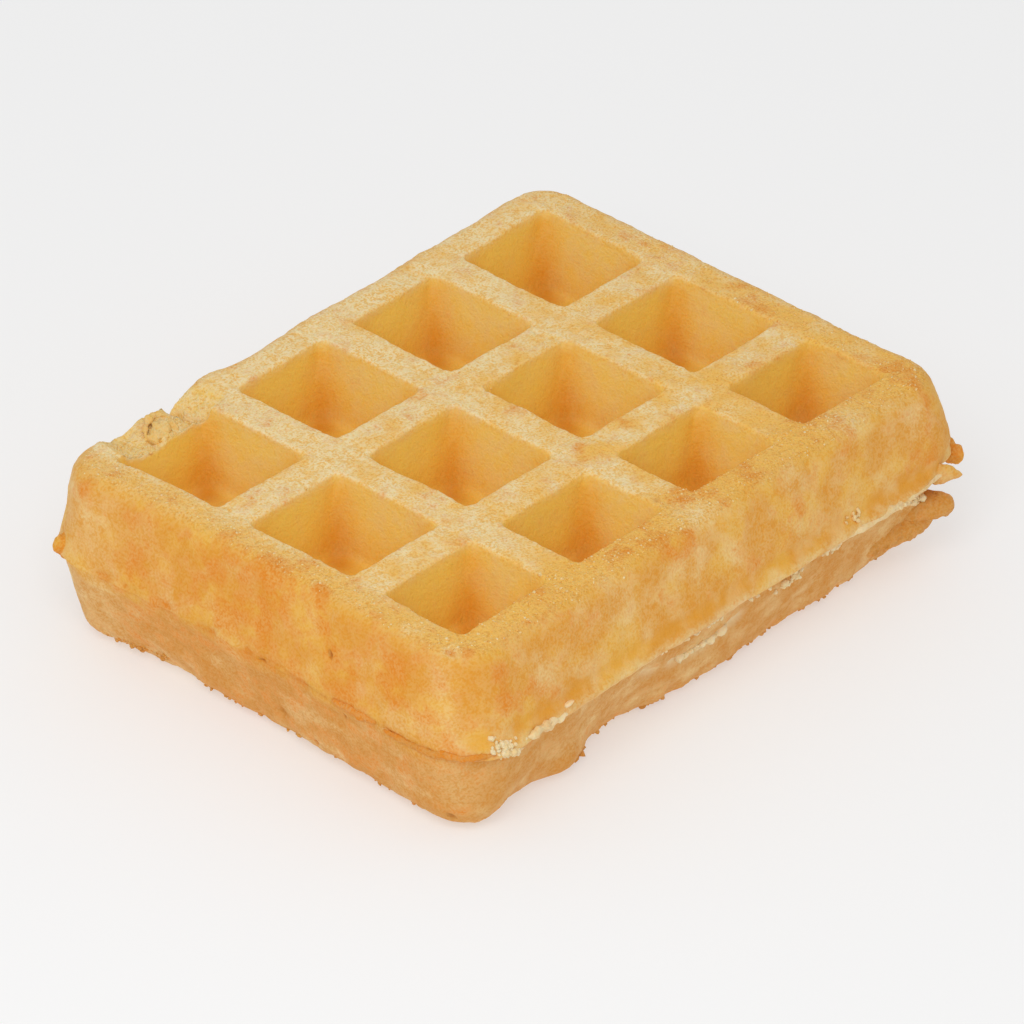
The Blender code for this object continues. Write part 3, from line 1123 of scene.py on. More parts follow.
def closed_tube(rings: int, segments: int) -> list[np.ndarray]:
    """Joins up a tube closed by a pole at each end; points run pole, ring by ring, pole.

    Args:
        rings: Rings of points between the poles.
        segments: Points in a ring.

    Returns:
        The corners of its four-sided faces, and those of its three-sided ones.
    """
    first = 1 + np.arange((rings - 1) * segments).reshape(rings - 1, segments)
    after = np.roll(first, -1, axis=1)
    quads = np.stack([first, after, after + segments, first + segments], axis=2).reshape(-1, 4)
    start = 1 + np.arange(segments)
    end = start + (rings - 1) * segments
    pole = 1 + rings * segments
    fan = np.stack([np.zeros(segments, int), np.roll(start, -1), start], axis=1)
    last = np.stack([np.full(segments, pole), end, np.roll(end, -1)], axis=1)
    return [quads, np.concatenate([fan, last])]


def blank_marks(count: int) -> dict[str, np.ndarray]:
    """The marks of plain outer crust at so many points."""
    marks = {key: np.zeros(count) for key in ("pale", "toast", "burn", "nook_shade", "under", "crumb")}
    return marks | {"rib": np.zeros(count), "wall": np.zeros(count), "grit": np.full(count, 0.5)}


@dataclass(frozen=True)
class Tongue:
    """A closed rag of batter along a path. Places and sizes are in pitches.

    Its cross-section is an ellipse across the path, as wide and as thick as the half sizes say at
    its middle, and it narrows to both ends as sqrt(1 - t^2), faster where the tip is sharp.
    """

    name: str
    path: tuple[tuple[float, float, float], ...]
    half_width: float
    half_thickness: float
    upright: bool = False
    sharpness: float = 1.0
    rough: float = 0.18
    pale: float = 0.0
    toast: float = 0.0
    crumb: float = 0.0
    under: float = 0.0
    wall: float = 1.0
    laid: bool = False

    RINGS = 44
    SEGMENTS = 20

    def surface(
        self, pitch: float, middle: np.ndarray, noise: CrustNoise, crust: np.ndarray
    ) -> Surface:
        """Works out the rag.

        Args:
            pitch: The pocket pitch.
            middle: The waffle's middle, from which places are counted.
            noise: The fields that make it ragged.
            crust: (n, 3) points of the shells, to which the path is moved if it is laid on them.

        Returns:
            Its closed surface.
        """
        knots = np.array(self.path) * pitch + np.array([*middle, 0.0])
        if self.laid:
            knots = crust[nearest_points(crust, knots)]
        length = np.concatenate([[0.0], np.cumsum(np.linalg.norm(np.diff(knots, axis=0), axis=1))])
        share = (1 - np.cos(np.linspace(0.0, math.pi, self.RINGS + 2)))[1:-1] / 2
        at = share * length[-1]
        line = np.stack([np.interp(at, length, knots[:, axis]) for axis in range(3)], axis=1)
        along = unit(np.gradient(line, axis=0))
        upward = np.array([0.0, 0.0, 1.0])
        across = unit(np.cross(upward, along))
        lifted = np.cross(along, across)
        wide, thin = (lifted, across) if self.upright else (across, -lifted)
        taper = np.sqrt(np.maximum(1 - (2 * share - 1) ** 2, 0.0)) ** self.sharpness
        turn = np.linspace(0.0, 2 * math.pi, self.SEGMENTS, endpoint=False)
        width = (taper * self.half_width * pitch)[:, None, None]
        thickness = (taper * self.half_thickness * pitch)[:, None, None]
        sideways = width * np.cos(turn)[:, None] * wide[:, None]
        body = line[:, None] + sideways + thickness * np.sin(turn)[:, None] * thin[:, None]
        body = body.reshape(-1, 3)
        points = np.concatenate([knots[:1], body, knots[-1:]])
        core = np.concatenate([knots[:1], np.repeat(line, self.SEGMENTS, axis=0), knots[-1:]])
        swell = 1.0 + self.rough * 2.0 * noise.layered(points, 1.5 * MM, 3)
        points = core + (points - core) * np.clip(swell, 0.25, 2.0)[:, None]
        blotches = 1.0 + 0.6 * noise.layered(points, 2.2 * MM, 2)
        marks = blank_marks(len(points))
        marks["pale"] = np.clip(self.pale * blotches, 0.0, 1.0)
        marks["toast"] = np.clip(self.toast * blotches, 0.0, 1.0)
        marks["under"] += self.under
        marks["wall"] += self.wall
        marks["crumb"] = np.clip(self.crumb * blotches, 0.0, 1.0)
        return Surface(points, closed_tube(self.RINGS, self.SEGMENTS), marks)


TONGUES = (
    Tongue(
        "corner_lobe",
        ((2.13, -1.20, 0.60), (2.21, -1.40, 0.595), (2.25, -1.60, 0.585)),
        0.085,
        0.050,
        upright=True,
        sharpness=0.7,
        toast=0.8,
    ),
    Tongue(
        "corner_spike",
        ((1.80, -1.52, 0.635), (1.99, -1.63, 0.605), (2.105, -1.708, 0.578)),
        0.068,
        0.034,
        upright=True,
        sharpness=1.5,
        rough=0.10,
        toast=0.15,
        pale=0.3,
    ),
    Tongue(
        "corner_tongue",
        ((1.42, -1.26, 0.36), (1.78, -1.49, 0.385), (2.05, -1.70, 0.41)),
        0.115,
        0.092,
        sharpness=0.55,
        rough=0.10,
        toast=0.25,
        under=1.0,
    ),
    Tongue(
        "corner_tongue_root",
        ((1.25, -1.32, 0.22), (1.60, -1.46, 0.27), (1.96, -1.62, 0.34)),
        0.105,
        0.118,
        sharpness=0.8,
        rough=0.10,
        toast=0.30,
        under=1.0,
    ),
    Tongue(
        "left_nub",
        ((-2.00, 1.32, 0.615), (-2.13, 1.44, 0.62), (-2.20, 1.50, 0.625)),
        0.095,
        0.060,
        upright=True,
        toast=0.9,
    ),
    Tongue(
        "torn_seam_right",
        (
            (0.80, -1.612, 0.565),
            (1.07, -1.640, 0.590),
            (1.40, -1.652, 0.592),
            (1.75, -1.655, 0.606),
            (2.04, -1.64, 0.615),
        ),
        0.026,
        0.026,
        upright=True,
        rough=0.35,
        pale=0.8,
        crumb=0.45,
    ),
    Tongue(
        "torn_seam_middle",
        (
            (-1.05, -1.630, 0.588),
            (-0.40, -1.605, 0.580),
            (0.20, -1.590, 0.575),
            (0.85, -1.605, 0.572),
        ),
        0.018,
        0.020,
        upright=True,
        rough=0.40,
        pale=0.8,
        crumb=0.5,
    ),
    Tongue(
        "torn_seam_left",
        ((-1.80, -1.650, 0.600), (-1.62, -1.665, 0.612), (-1.40, -1.660, 0.600)),
        0.028,
        0.028,
        upright=True,
        rough=0.45,
        pale=0.8,
        crumb=0.65,
    ),
    Tongue(
        "seam_flake",
        ((-1.40, -1.63, 0.63), (-1.385, -1.665, 0.665), (-1.38, -1.685, 0.69)),
        0.022,
        0.016,
        sharpness=1.4,
        crumb=0.8,
    ),
    Tongue(
        "crease_strand",
        (
            (-2.215, -1.00, 0.576),
            (-2.225, -1.18, 0.580),
            (-2.228, -1.36, 0.590),
            (-2.212, -1.46, 0.594),
            (-2.165, -1.54, 0.598),
            (-2.10, -1.60, 0.602),
            (-2.02, -1.632, 0.610),
        ),
        0.024,
        0.017,
        upright=True,
        sharpness=0.6,
        rough=0.30,
        toast=0.8,
        under=1.0,
        laid=True,
    ),
    Tongue(
        "crease_strand_left",
        ((-2.215, -0.62, 0.586), (-2.222, -0.77, 0.580), (-2.225, -0.95, 0.576)),
        0.026,
        0.018,
        upright=True,
        sharpness=0.6,
        rough=0.30,
        toast=0.8,
        under=1.0,
        laid=True,
    ),
    Tongue(
        "rim_flake",
        ((-1.50, 1.40, 1.05), (-1.40, 1.42, 1.065), (-1.28, 1.42, 1.05)),
        0.060,
        0.050,
        sharpness=0.6,
        rough=0.30,
        pale=0.5,
        crumb=0.1,
        wall=0.5,
    ),
    Tongue(
        "rim_curl",
        (
            (-1.50, 1.43, 1.05),
            (-1.45, 1.49, 1.085),
            (-1.38, 1.52, 1.10),
            (-1.31, 1.51, 1.10),
            (-1.27, 1.46, 1.07),
        ),
        0.020,
        0.017,
        sharpness=0.6,
        rough=0.45,
        pale=0.5,
        toast=0.15,
        wall=0.5,
    ),
)


@dataclass(frozen=True)
class Scatter:
    """Lumps set into the crust round a path.

    The path and the spread are in pitches, the radii in millimetres. Lift is how far a lump's
    middle stands out of the crust, in radii.
    """

    path: tuple[tuple[float, float, float], ...]
    count: int
    spread: float
    smallest: float
    largest: float
    lift: float = 0.4
    toast: float = 0.0
    crumb: float = 0.0
    pale: float = 0.0
    under: float = 0.0
    wall: float = 1.0


class Lumps:
    """Small closed lumps in one mesh: balls of a few dozen faces, stretched, turned and knobbly."""

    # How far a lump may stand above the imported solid
    HEADROOM = 0.8 * MM

    def __init__(self, seed: int, shell: Surface, rings: int, segments: int) -> None:
        """Keeps the crust to set lumps into.

        Args:
            seed: The number that the lumps are drawn from.
            shell: The half of the crust.
            rings: Rings of points round each lump.
            segments: Points in a ring.
        """
        self.draws = np.random.default_rng(seed)
        self.noise = CrustNoise(seed)
        self.shell = shell
        self.rings = rings
        self.segments = segments

    def _ball(self) -> np.ndarray:
        """Works out a ball: a pole, the rings, the other pole.

        Returns:
            (n, 3) directions of its points.
        """
        down = np.linspace(0.0, math.pi, self.rings + 2)[1:-1, None]
        turn = np.linspace(0.0, 2 * math.pi, self.segments, endpoint=False)[None]
        level = np.cos(down) + 0.0 * turn
        ring = np.stack([np.sin(down) * np.cos(turn), np.sin(down) * np.sin(turn), level], axis=2)
        return np.concatenate([[[0, 0, 1]], ring.reshape(-1, 3), [[0, 0, -1]]])

    def _turns(self, count: int) -> np.ndarray:
        """Draws rotations, from random directions made square to each other.

        Args:
            count: How many.

        Returns:
            (count, 3, 3) rotations.
        """
        first = unit(self.draws.normal(size=(count, 3)))
        second = unit(np.cross(first, self.draws.normal(size=(count, 3))))
        return np.stack([first, second, np.cross(first, second)], axis=1)

    def _joined(
        self, found: np.ndarray, radii: np.ndarray, lift: np.ndarray, values: dict[str, np.ndarray]
    ) -> Surface:
        """Joins one lump at each found point of the crust.

        Args:
            found: (n,) numbers of the crust's points.
            radii: (n,) radii in metres.
            lift: (n,) how far each stands out, in radii.
            values: (n,) marks of each lump, by name.

        Returns:
            All lumps as one surface.
        """
        ball = self._ball()
        count = len(found)
        middles = self.shell.points[found] + self.shell.normals()[found] * (lift * radii)[:, None]
        halves = radii[:, None] * (0.6 + 0.8 * self.draws.random((count, 3)))
        knobs = ball[None] + 7.0 * np.arange(count)[:, None, None]
        swell = 1.0 + 0.45 * self.noise.smooth(knobs.reshape(-1, 3), 0.9).reshape(count, -1)
        local = ball[None] * halves[:, None] * swell[..., None]
        points = np.einsum("nkj,njl->nkl", local, self._turns(count)) + middles[:, None]
        points[..., 2] = np.clip(points[..., 2], 0.0, CAD_BOX[1].z + self.HEADROOM)
        offsets = np.arange(count)[:, None, None] * len(ball)
        faces = [
            (part[None] + offsets).reshape(-1, part.shape[1])
            for part in closed_tube(self.rings, self.segments)
        ]
        marks = blank_marks(count * len(ball))
        for key, each in values.items():
            marks[key] = np.repeat(each, len(ball))
        return Surface(points.reshape(-1, 3), faces, marks)

    def along(self, groups: tuple[Scatter, ...], grid: PocketGrid) -> Surface:
        """Sets lumps round the groups' paths, each at the crust's nearest point.

        Args:
            groups: What is set where.
            grid: The grid that the places are counted from.

        Returns:
            All lumps as one surface.
        """
        middle = np.array([grid.middle_x, grid.middle_y, 0.0])
        targets, radii, lift, marks = [], [], [], []
        for group in groups:
            path = np.array(group.path)
            share = self.draws.random(group.count) * (len(path) - 1)
            at = [np.interp(share, np.arange(len(path)), path[:, axis]) for axis in range(3)]
            strewn = np.stack(at, axis=1) + self.draws.normal(size=(group.count, 3)) * group.spread
            targets.append(strewn * grid.pitch + middle)
            size = self.draws.random(group.count) ** 2 * (group.largest - group.smallest)
            radii.append((group.smallest + size) * MM)
            lift.append(np.full(group.count, group.lift))
            shade = [group.pale, group.toast, group.crumb, group.under, group.wall]
            marks.append(np.tile(shade, (group.count, 1)))
        found = nearest_points(self.shell.points, np.concatenate(targets))
        shades = np.concatenate(marks)
        shades = np.clip(shades * self.draws.uniform(0.7, 1.3, (len(shades), 1)), 0.0, 1.0)
        values = dict(zip(("pale", "toast", "crumb", "under", "wall"), shades.T))
        return self._joined(found, np.concatenate(radii), np.concatenate(lift), values)

    def over_ribs(self, count: int, smallest: float, largest: float) -> Surface:
        """Strews grains over the ribs, thickest where the crust is gritty.

        Args:
            count: How many.
            smallest: The least radius, in millimetres.
            largest: The greatest.

        Returns:
            All grains as one surface.
        """
        chance = self.shell.attributes["grit"] ** 2.5 * self.shell.areas()
        found = self.draws.choice(len(chance), size=count, replace=False, p=chance / chance.sum())
        radii = (smallest + (largest - smallest) * self.draws.random(count) ** 3) * MM
        # The light grains are pale pebbles that also carry painted glints.
        light = self.draws.random(count) < 0.45 + 0.35 * self.shell.attributes["pale"][found]
        toast = np.where(light, 0.0, self.draws.uniform(0.0, 0.40, count))
        pale = np.where(light, 0.9, 0.3)
        values = {"pale": pale, "toast": toast, "rib": np.ones(count), "wall": np.zeros(count)}
        return self._joined(found, radii, np.full(count, -0.25), values)


CURDS = (
    Scatter(((-2.00, -1.655, 0.67), (-1.90, -1.665, 0.62)), 90, 0.020, 0.15, 0.5, 0.3, crumb=0.9),
    Scatter(((-1.95, -1.655, 0.60), (-1.80, -1.645, 0.54)), 60, 0.020, 0.15, 0.5, 0.3, crumb=0.9),
    Scatter(
        ((-0.28, -1.55, 0.37), (-0.02, -1.54, 0.37), (0.10, -1.55, 0.41)),
        40,
        0.014,
        0.3,
        0.8,
        crumb=0.9,
    ),
    Scatter(((0.55, -1.59, 0.46), (0.74, -1.60, 0.50)), 14, 0.012, 0.25, 0.6, crumb=0.9),
    Scatter(((0.92, -1.615, 0.52), (1.08, -1.625, 0.54)), 16, 0.012, 0.25, 0.6, crumb=0.9),
    Scatter(((1.12, -1.62, 0.68), (1.25, -1.63, 0.68)), 12, 0.012, 0.2, 0.5, crumb=0.4, pale=0.6),
    Scatter(
        ((1.55, -1.65, 0.58), (1.70, -1.66, 0.55), (1.90, -1.67, 0.46)),
        34,
        0.016,
        0.25,
        0.7,
        crumb=0.9,
    ),
    Scatter(((-0.85, -1.63, 0.55), (0.70, -1.60, 0.54)), 26, 0.010, 0.2, 0.45, crumb=0.9),
)
EDGE_CRUMBS = (
    Scatter(((-2.06, 1.17, 0.05), (-2.07, 0.78, 0.06)), 46, 0.018, 0.2, 0.6, -0.3, 0.45, under=1.0),
    Scatter(((-1.08, -1.46, 0.03), (-1.00, -1.46, 0.05)), 8, 0.015, 0.3, 0.7, 0.1, 0.4, under=1.0),
    Scatter(((-2.05, 0.60, 0.03), (-2.00, -1.20, 0.03)), 24, 0.015, 0.2, 0.4, 0.0, 0.3, under=1.0),
    Scatter(
        ((-0.90, -1.42, 0.03), (1.90, -1.46, 0.04)),
        60,
        0.015,
        0.25,
        0.6,
        -0.2,
        0.3,
        under=1.0,
    ),
    Scatter(((-1.90, 1.45, 0.03), (1.90, 1.45, 0.04)), 50, 0.015, 0.25, 0.6, -0.2, 0.3, under=1.0),
    Scatter(((2.02, -1.30, 0.03), (2.02, 1.30, 0.04)), 40, 0.015, 0.25, 0.6, -0.2, 0.3, under=1.0),
)
RIM_CRUMBS = (
    Scatter(
        ((-1.62, 1.42, 1.06), (-1.26, 1.44, 1.09)),
        26,
        0.035,
        0.15,
        0.45,
        0.2,
        pale=0.8,
        crumb=0.1,
        wall=0.5,
    ),
    Scatter(
        ((-1.80, 1.47, 1.10), (-1.60, 1.45, 1.06)),
        18,
        0.025,
        0.12,
        0.35,
        0.2,
        pale=0.8,
        crumb=0.1,
        wall=0.5,
    ),
    Scatter(
        ((-1.72, 1.36, 1.10), (-1.30, 1.36, 1.08)),
        14,
        0.020,
        0.10,
        0.30,
        0.1,
        pale=0.6,
        wall=0.5,
    ),
)


RAG_SEED = 21
CURD_SEED = 31
EDGE_SEED = 32
RIM_SEED = 33
GRAIN_SEED = 34
GRAIN_COUNT = 2200
# The least and the greatest radius of a grain, in millimetres
GRAIN_RADII = (0.10, 0.26)
# Rings and points in a ring of each lump
CRUMB_MESH = (5, 8)
GRAIN_MESH = (3, 6)


@dataclass(frozen=True)
class CrustFinish:
    """The baked crust: its colours as linear red, green and blue, its patterns and its shine."""

    golden: tuple[float, float, float] = (0.98, 0.67, 0.12)
    rib: tuple[float, float, float] = (0.94, 0.52, 0.09)
    # Painted shade of pocket corners, floors and the front groove: a deeper orange.
    nook_shade: tuple[float, float, float] = (0.84, 0.38, 0.030)
    side: tuple[float, float, float] = (0.77, 0.33, 0.030)
    underside: tuple[float, float, float] = (0.68, 0.29, 0.045)
    cream: tuple[float, float, float] = (0.90, 0.68, 0.32)
    toasted: tuple[float, float, float] = (0.78, 0.25, 0.012)
    burnt: tuple[float, float, float] = (0.42, 0.12, 0.018)
    crumb: tuple[float, float, float] = (0.93, 0.75, 0.44)
    # Painted glints on the rib tops.
    painted_glint: tuple[float, float, float] = (1.0, 0.85, 0.53)
    fine_waves: float = 2600.0
    mottle_waves: float = 900.0
    wisp_waves: float = 280.0
    patch_waves: float = 130.0
    subsurface_weight: float = 0.08
    subsurface_radius: tuple[float, float, float] = (1.0, 0.45, 0.18)
    subsurface_scale: float = 0.35 * MM
    specular: float = 0.25
    roughness: float = 0.68
    relief_strength: float = 0.8
    relief_height: float = 0.25 * MM

    def material(self) -> bpy.types.Material:
        """Builds the finish: colours mixed by the crust's marks and four sizes of noise.

        Returns:
            The finish.
        """
        material = bpy.data.materials.new("baked_crust")
        material.use_nodes = True
        nodes = NodeWriter(material)
        fine = nodes.noise(self.fine_waves, 2.0)
        mottle = nodes.noise(self.mottle_waves, 3.0)
        wisps = nodes.noise(self.wisp_waves, 3.0)
        grain = nodes.add(nodes.times(fine, 0.6), nodes.times(mottle, 0.4))
        drift = nodes.add(nodes.times(wisps, 0.6), nodes.times(mottle, 0.4))
        color = nodes.mix(self.golden, self.rib, nodes.attribute("rib"))
        color = nodes.mix(color, self.side, nodes.attribute("wall"))
        sunny = nodes.between(nodes.noise(self.patch_waves, 2.0), 0.46, 0.64, 0.0, 0.30)
        color = nodes.mix(color, self.golden, nodes.times(sunny, nodes.attribute("wall")))
        color = nodes.mix(color, self.underside, nodes.attribute("under"))
        # Painted shade: pocket corners, floors and the front groove go a deeper orange.
        color = nodes.mix(color, self.nook_shade, nodes.attribute("nook_shade"))
        speck = nodes.between(grain, 0.40, 0.60)
        cloud = nodes.between(wisps, 0.38, 0.62)
        outside = nodes.between(nodes.attribute("nook_shade"), 0.0, 0.06, 1.0, 0.3)
        color = nodes.mix(color, self.cream, nodes.times(nodes.times(speck, outside), 0.16))
        cloudy = nodes.between(nodes.attribute("wall"), 0.0, 1.0, 0.10, 0.30)
        color = nodes.mix(color, self.cream, nodes.times(nodes.between(wisps, 0.44, 0.68), cloudy))
        browner = nodes.times(nodes.between(grain, 0.48, 0.36, 0.0, 0.22), outside)
        color = nodes.mix(color, self.toasted, browner)
        pitted = nodes.between(nodes.attribute("rib"), 0.0, 1.0, 0.03, 0.15)
        color = nodes.mix(color, self.burnt, nodes.times(nodes.between(fine, 0.48, 0.34), pitted))
        flecked = nodes.add(nodes.add(nodes.times(speck, 0.45), nodes.times(cloud, 0.45)), 0.28)
        color = nodes.mix(color, self.cream, nodes.times(nodes.attribute("pale"), flecked))
        # Painted glints: pale grain on the rib tops goes near white.
        painted_glint = nodes.times(nodes.between(grain, 0.42, 0.62, 0.0, 0.60), nodes.attribute("pale"))
        color = nodes.mix(color, self.painted_glint, nodes.times(painted_glint, nodes.attribute("rib")))
        spread = nodes.add(nodes.attribute("toast"), nodes.times(drift, 4.0))
        broken_up = nodes.between(grain, 0.40, 0.60, 0.95, 0.5)
        patchy = nodes.times(nodes.between(spread, 2.15, 3.05), broken_up)
        color = nodes.mix(color, self.toasted, nodes.times(patchy, outside))
        # Burn is real brown in creases and specks, and painted shade deep in the pockets.
        color = nodes.mix(color, self.burnt, nodes.times(nodes.attribute("burn"), 0.85))
        color = nodes.mix(color, self.crumb, nodes.attribute("crumb"))
        nodes.set_input("Base Color", color)
        nodes.set_input("Specular IOR Level", self.specular)
        shine = nodes.between(mottle, 0.35, 0.65, -0.25, 0.0)
        shine = nodes.times(shine, nodes.attribute("rib"))
        nodes.set_input("Roughness", nodes.add(shine, self.roughness))
        coarse = nodes.add(nodes.times(mottle, 1.1), fine)
        relief = nodes.times(coarse, nodes.between(nodes.attribute("grit"), 0.0, 1.0, 0.55, 1.3))
        nodes.bump(relief, self.relief_strength, self.relief_height)
        nodes.subsurface(self.subsurface_weight, self.subsurface_radius, self.subsurface_scale)
        return material


class NodeWriter:
    """Writes a Principled finish node by node."""

    def __init__(self, material: bpy.types.Material) -> None:
        """Finds the shader and makes the Object coordinates that every pattern reads.

        Args:
            material: The finish to write.
        """
        self._tree = material.node_tree
        self._shader = self._tree.nodes["Principled BSDF"]
        coordinates = self._tree.nodes.new("ShaderNodeTexCoord")
        self._object = coordinates.outputs["Object"]

    def _put(self, socket: bpy.types.NodeSocket, value: object) -> None:
        """Links a socket, or sets a number or a colour.

        Args:
            socket: The input.
            value: What it gets.
        """
        if isinstance(value, bpy.types.NodeSocket):
            self._tree.links.new(value, socket)
        elif isinstance(value, tuple) and len(value) == 3 and socket.type == "RGBA":
            socket.default_value = (*value, 1.0)
        else:
            socket.default_value = value

    def set_input(self, name: str, value: object) -> None:
        """Sets one of the shader's own inputs."""
        self._put(self._shader.inputs[name], value)

    def attribute(self, name: str) -> bpy.types.NodeSocket:
        """Reads a value that the mesh carries.

        Args:
            name: The attribute's name.

        Returns:
            The value.
        """
        node = self._tree.nodes.new("ShaderNodeAttribute")
        node.attribute_name = name
        return node.outputs["Fac"]

    def noise(self, scale: float, detail: float) -> bpy.types.NodeSocket:
        """Makes a noise over the object.

        Args:
            scale: How many waves a metre.
            detail: How many finer layers lie over it.

        Returns:
            Its value, about 0.5 in the middle.
        """
        node = self._tree.nodes.new("ShaderNodeTexNoise")
        node.inputs["Scale"].default_value = scale
        node.inputs["Detail"].default_value = detail
        self._tree.links.new(self._object, node.inputs["Vector"])
        return node.outputs["Fac"]

    def math(self, operation: str, first: object, second: object) -> bpy.types.NodeSocket:
        """Reckons with two values.

        Args:
            operation: The node's name for what is done.
            first: The first value.
            second: The second.

        Returns:
            The result.
        """
        node = self._tree.nodes.new("ShaderNodeMath")
        node.operation = operation
        self._put(node.inputs[0], first)
        self._put(node.inputs[1], second)
        return node.outputs[0]

    def add(self, first: object, second: object) -> bpy.types.NodeSocket:
        """The sum of two values."""
        return self.math("ADD", first, second)

    def times(self, first: object, second: object) -> bpy.types.NodeSocket:
        """The product of two values."""
        return self.math("MULTIPLY", first, second)

    def between(
        self, value: object, low: float, high: float, to_low: float = 0.0, to_high: float = 1.0
    ) -> bpy.types.NodeSocket:
        """Carries a value smoothly from two ends to two others.

        Args:
            value: The value.
            low: Where it starts.
            high: Where it ends.
            to_low: The result at low.
            to_high: The result at high.

        Returns:
            The result.
        """
        node = self._tree.nodes.new("ShaderNodeMapRange")
        node.interpolation_type = "SMOOTHSTEP"
        for name, number in (
            ("From Min", low),
            ("From Max", high),
            ("To Min", to_low),
            ("To Max", to_high),
        ):
            node.inputs[name].default_value = number
        self._put(node.inputs["Value"], value)
        return node.outputs["Result"]

    def mix(self, first: object, second: object, share: object) -> bpy.types.NodeSocket:
        """Blends one colour into another.

        Args:
            first: The colour at share 0.
            second: The colour at share 1.
            share: How much of the second.

        Returns:
            The blend.
        """
        node = self._tree.nodes.new("ShaderNodeMix")
        node.data_type = "RGBA"
        self._put(node.inputs["Factor"], share)
        color_inputs = [socket for socket in node.inputs if socket.type == "RGBA"]
        self._put(color_inputs[0], first)
        self._put(color_inputs[1], second)
        return next(socket for socket in node.outputs if socket.type == "RGBA")

    def bump(self, height: object, strength: float, distance: float) -> None:
        """Raises the surface by a height.

        Args:
            height: The height, as a value.
            strength: How much of it shows.
            distance: What a height of 1 is, in metres.
        """
        node = self._tree.nodes.new("ShaderNodeBump")
        node.inputs["Strength"].default_value = strength
        node.inputs["Distance"].default_value = distance
        self._put(node.inputs["Height"], height)
        self._tree.links.new(node.outputs["Normal"], self._shader.inputs["Normal"])

    def subsurface(self, weight: float, radius: tuple[float, float, float], scale: float) -> None:
        """Lets some light through the crumb.

        Args:
            weight: How much of it.
            radius: How far red, green and blue go, as shares of the scale.
            scale: How far light goes, in metres.
        """
        self._shader.inputs["Subsurface Weight"].default_value = weight
        self._shader.inputs["Subsurface Radius"].default_value = radius
        self._shader.inputs["Subsurface Scale"].default_value = scale


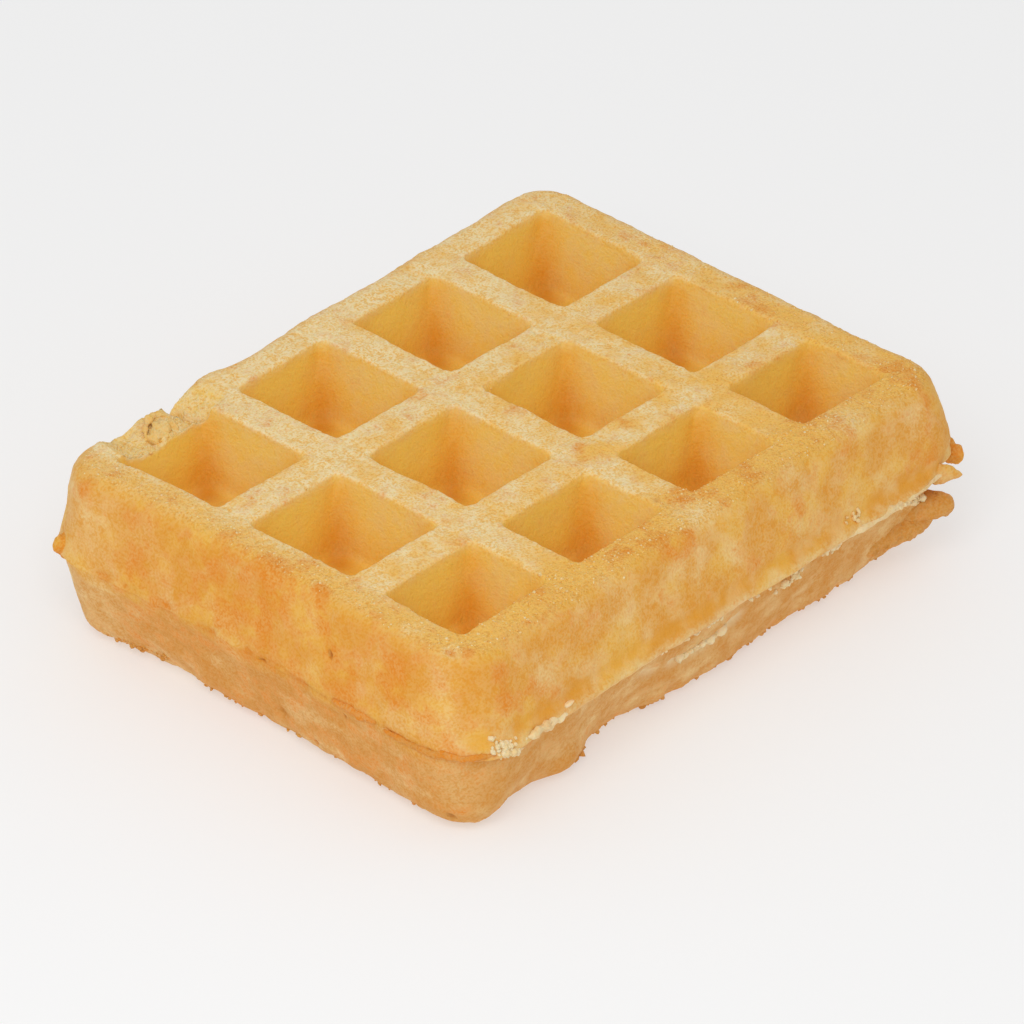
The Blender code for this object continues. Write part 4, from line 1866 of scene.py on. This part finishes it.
@dataclass(frozen=True)
class Studio:
    """A pale floor, soft light from all round, and the camera."""

    floor_size: float = 6.0
    floor_grey: float = 0.55
    floor_roughness: float = 0.9
    floor_glow: float = 0.42
    sky_strength: float = 0.66
    lamp_place: tuple[float, float, float] = (-0.36, -0.19, 0.44)
    lamp_size: float = 0.3
    lamp_power: float = 0.95
    camera_azimuth: float = -51.11
    camera_height: float = 33.15
    camera_roll: float = 3.15
    camera_distance: float = 45.985
    camera_slide: tuple[float, float] = (-0.0314, -0.5146)
    lens: float = 282.9
    sensor_width: float = 36.0
    clip: tuple[float, float] = (0.1, 10.0)

    def build(self, grid: PocketGrid, top: float) -> None:
        """Builds floor, light and camera.

        Args:
            grid: The grid of pockets, whose middle the camera looks at.
            top: The height of the rib tops.
        """
        self._floor()
        self._light()
        self._camera(grid, top)
        bpy.context.scene.view_settings.view_transform = "Standard"

    def _floor(self) -> None:
        """A plain pale floor that isn't part of the waffle."""
        half = self.floor_size / 2
        mesh = bpy.data.meshes.new("floor")
        corners = [(-half, -half, 0), (half, -half, 0), (half, half, 0), (-half, half, 0)]
        mesh.from_pydata(corners, [], [(0, 1, 2, 3)])
        material = bpy.data.materials.new("pale_floor")
        material.use_nodes = True
        shader = material.node_tree.nodes["Principled BSDF"]
        shader.inputs["Base Color"].default_value = (*[self.floor_grey] * 3, 1.0)
        shader.inputs["Roughness"].default_value = self.floor_roughness
        shader.inputs["Emission Color"].default_value = (1.0, 1.0, 1.0, 1.0)
        shader.inputs["Emission Strength"].default_value = self.floor_glow
        mesh.materials.append(material)
        floor = bpy.data.objects.new("floor", mesh)
        bpy.context.scene.collection.objects.link(floor)

    def _light(self) -> None:
        """White light from all round, and a large soft lamp from the left front."""
        world = bpy.data.worlds.new("studio")
        bpy.context.scene.world = world
        world.use_nodes = True
        background = world.node_tree.nodes["Background"]
        background.inputs["Color"].default_value = (1.0, 1.0, 1.0, 1.0)
        background.inputs["Strength"].default_value = self.sky_strength
        data = bpy.data.lights.new("key", "AREA")
        data.size = self.lamp_size
        data.energy = self.lamp_power
        lamp = bpy.data.objects.new("key", data)
        place = np.array(self.lamp_place)
        lamp.matrix_world = self._aimed(unit(place), np.array([0.0, 0.0, 1.0]), place)
        bpy.context.scene.collection.objects.link(lamp)

    @staticmethod
    def _aimed(back: np.ndarray, up: np.ndarray, place: np.ndarray) -> Matrix:
        """Works out a turn whose local Z is back and whose local Y leans towards up.

        Args:
            back: The direction away from what is looked at.
            up: The direction that is up in the picture.
            place: Where it stands.

        Returns:
            The turn and the place as one matrix.
        """
        right = unit(np.cross(up, back))
        upward = np.cross(back, right)
        rows = [[right[axis], upward[axis], back[axis], place[axis]] for axis in range(3)]
        return Matrix([*rows, [0.0, 0.0, 0.0, 1.0]])

    def _camera(self, grid: PocketGrid, top: float) -> None:
        """A long lens that looks down on the near left corner, rolled a little.

        Args:
            grid: The grid of pockets, whose middle it looks at.
            top: The height of the rib tops.
        """
        azimuth, height, roll = map(
            math.radians, (self.camera_azimuth, self.camera_height, self.camera_roll)
        )
        level = math.cos(height)
        back = np.array([math.sin(azimuth) * level, -math.cos(azimuth) * level, math.sin(height)])
        right = np.array([math.cos(azimuth), math.sin(azimuth), 0.0])
        up = np.cross(back, right)
        rolled_up = up * math.cos(roll) - right * math.sin(roll)
        rolled_right = np.cross(rolled_up, back)
        aim = np.array([grid.middle_x - 0.01 * grid.pitch, grid.middle_y - 0.07 * grid.pitch, top])
        slide = self.camera_slide[0] * rolled_right + self.camera_slide[1] * rolled_up
        place = aim + grid.pitch * (self.camera_distance * back + slide)
        data = bpy.data.cameras.new("camera")
        data.lens = self.lens
        data.sensor_width = self.sensor_width
        data.clip_start, data.clip_end = self.clip
        camera = bpy.data.objects.new("camera", data)
        camera.matrix_world = self._aimed(back, rolled_up, place)
        bpy.context.scene.collection.objects.link(camera)
        bpy.context.scene.camera = camera


def main() -> None:
    """Builds the waffle's pieces, its finish and the studio."""
    logging.basicConfig(level=logging.INFO, format="%(name)s: %(message)s")
    grid = PocketGrid.from_frame(frame["record"])
    openings = frame["record"]["physics"]["openings"]
    top = max(opening["box_m"][1][2] for opening in openings)
    seam = top / 2
    crust = CrustFinish().material()
    upper_sizes = HalfSizes(Facing.UP, height=(top - seam) / grid.pitch)
    lower_sizes = HalfSizes(
        Facing.DOWN,
        height=seam / grid.pitch,
        seam_half=(2.21, 1.625),
        seam_shift=(-0.005, 0.01),
        face_half=(2.06, 1.49),
        face_shift=(0.0, 0.0),
        edge_radius=0.15,
        corner_radius=0.16,
        grid_scale=0.955,
    )
    upper = CrustHalf(grid, upper_sizes, seam).surface()
    lower = CrustHalf(grid, lower_sizes, seam).surface()
    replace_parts(upper.to_object("upper_crust", crust), NODE)
    lower.to_object("lower_crust", crust)
    both = Surface(
        np.concatenate([upper.points, lower.points]),
        [np.concatenate([upper.faces[0], lower.faces[0] + len(upper.points)])],
        {},
    )
    middle = np.array([grid.middle_x, grid.middle_y])
    rags = CrustNoise(RAG_SEED)
    for tongue in TONGUES:
        tongue.surface(grid.pitch, middle, rags, both.points).to_object(tongue.name, crust)
    curds = Lumps(CURD_SEED, both, *CRUMB_MESH).along(CURDS, grid)
    curds.to_object("seam_curds", crust)
    edge_crumbs = Lumps(EDGE_SEED, lower, *CRUMB_MESH).along(EDGE_CRUMBS, grid)
    edge_crumbs.to_object("edge_crumbs", crust)
    rim_crumbs = Lumps(RIM_SEED, upper, *CRUMB_MESH).along(RIM_CRUMBS, grid)
    rim_crumbs.to_object("rim_crumbs", crust)
    grains = Lumps(GRAIN_SEED, upper, *GRAIN_MESH).over_ribs(GRAIN_COUNT, *GRAIN_RADII)
    grains.to_object("rib_grains_and_glints", crust)
    Studio().build(grid, top)


if __name__ == "__main__":
    main()
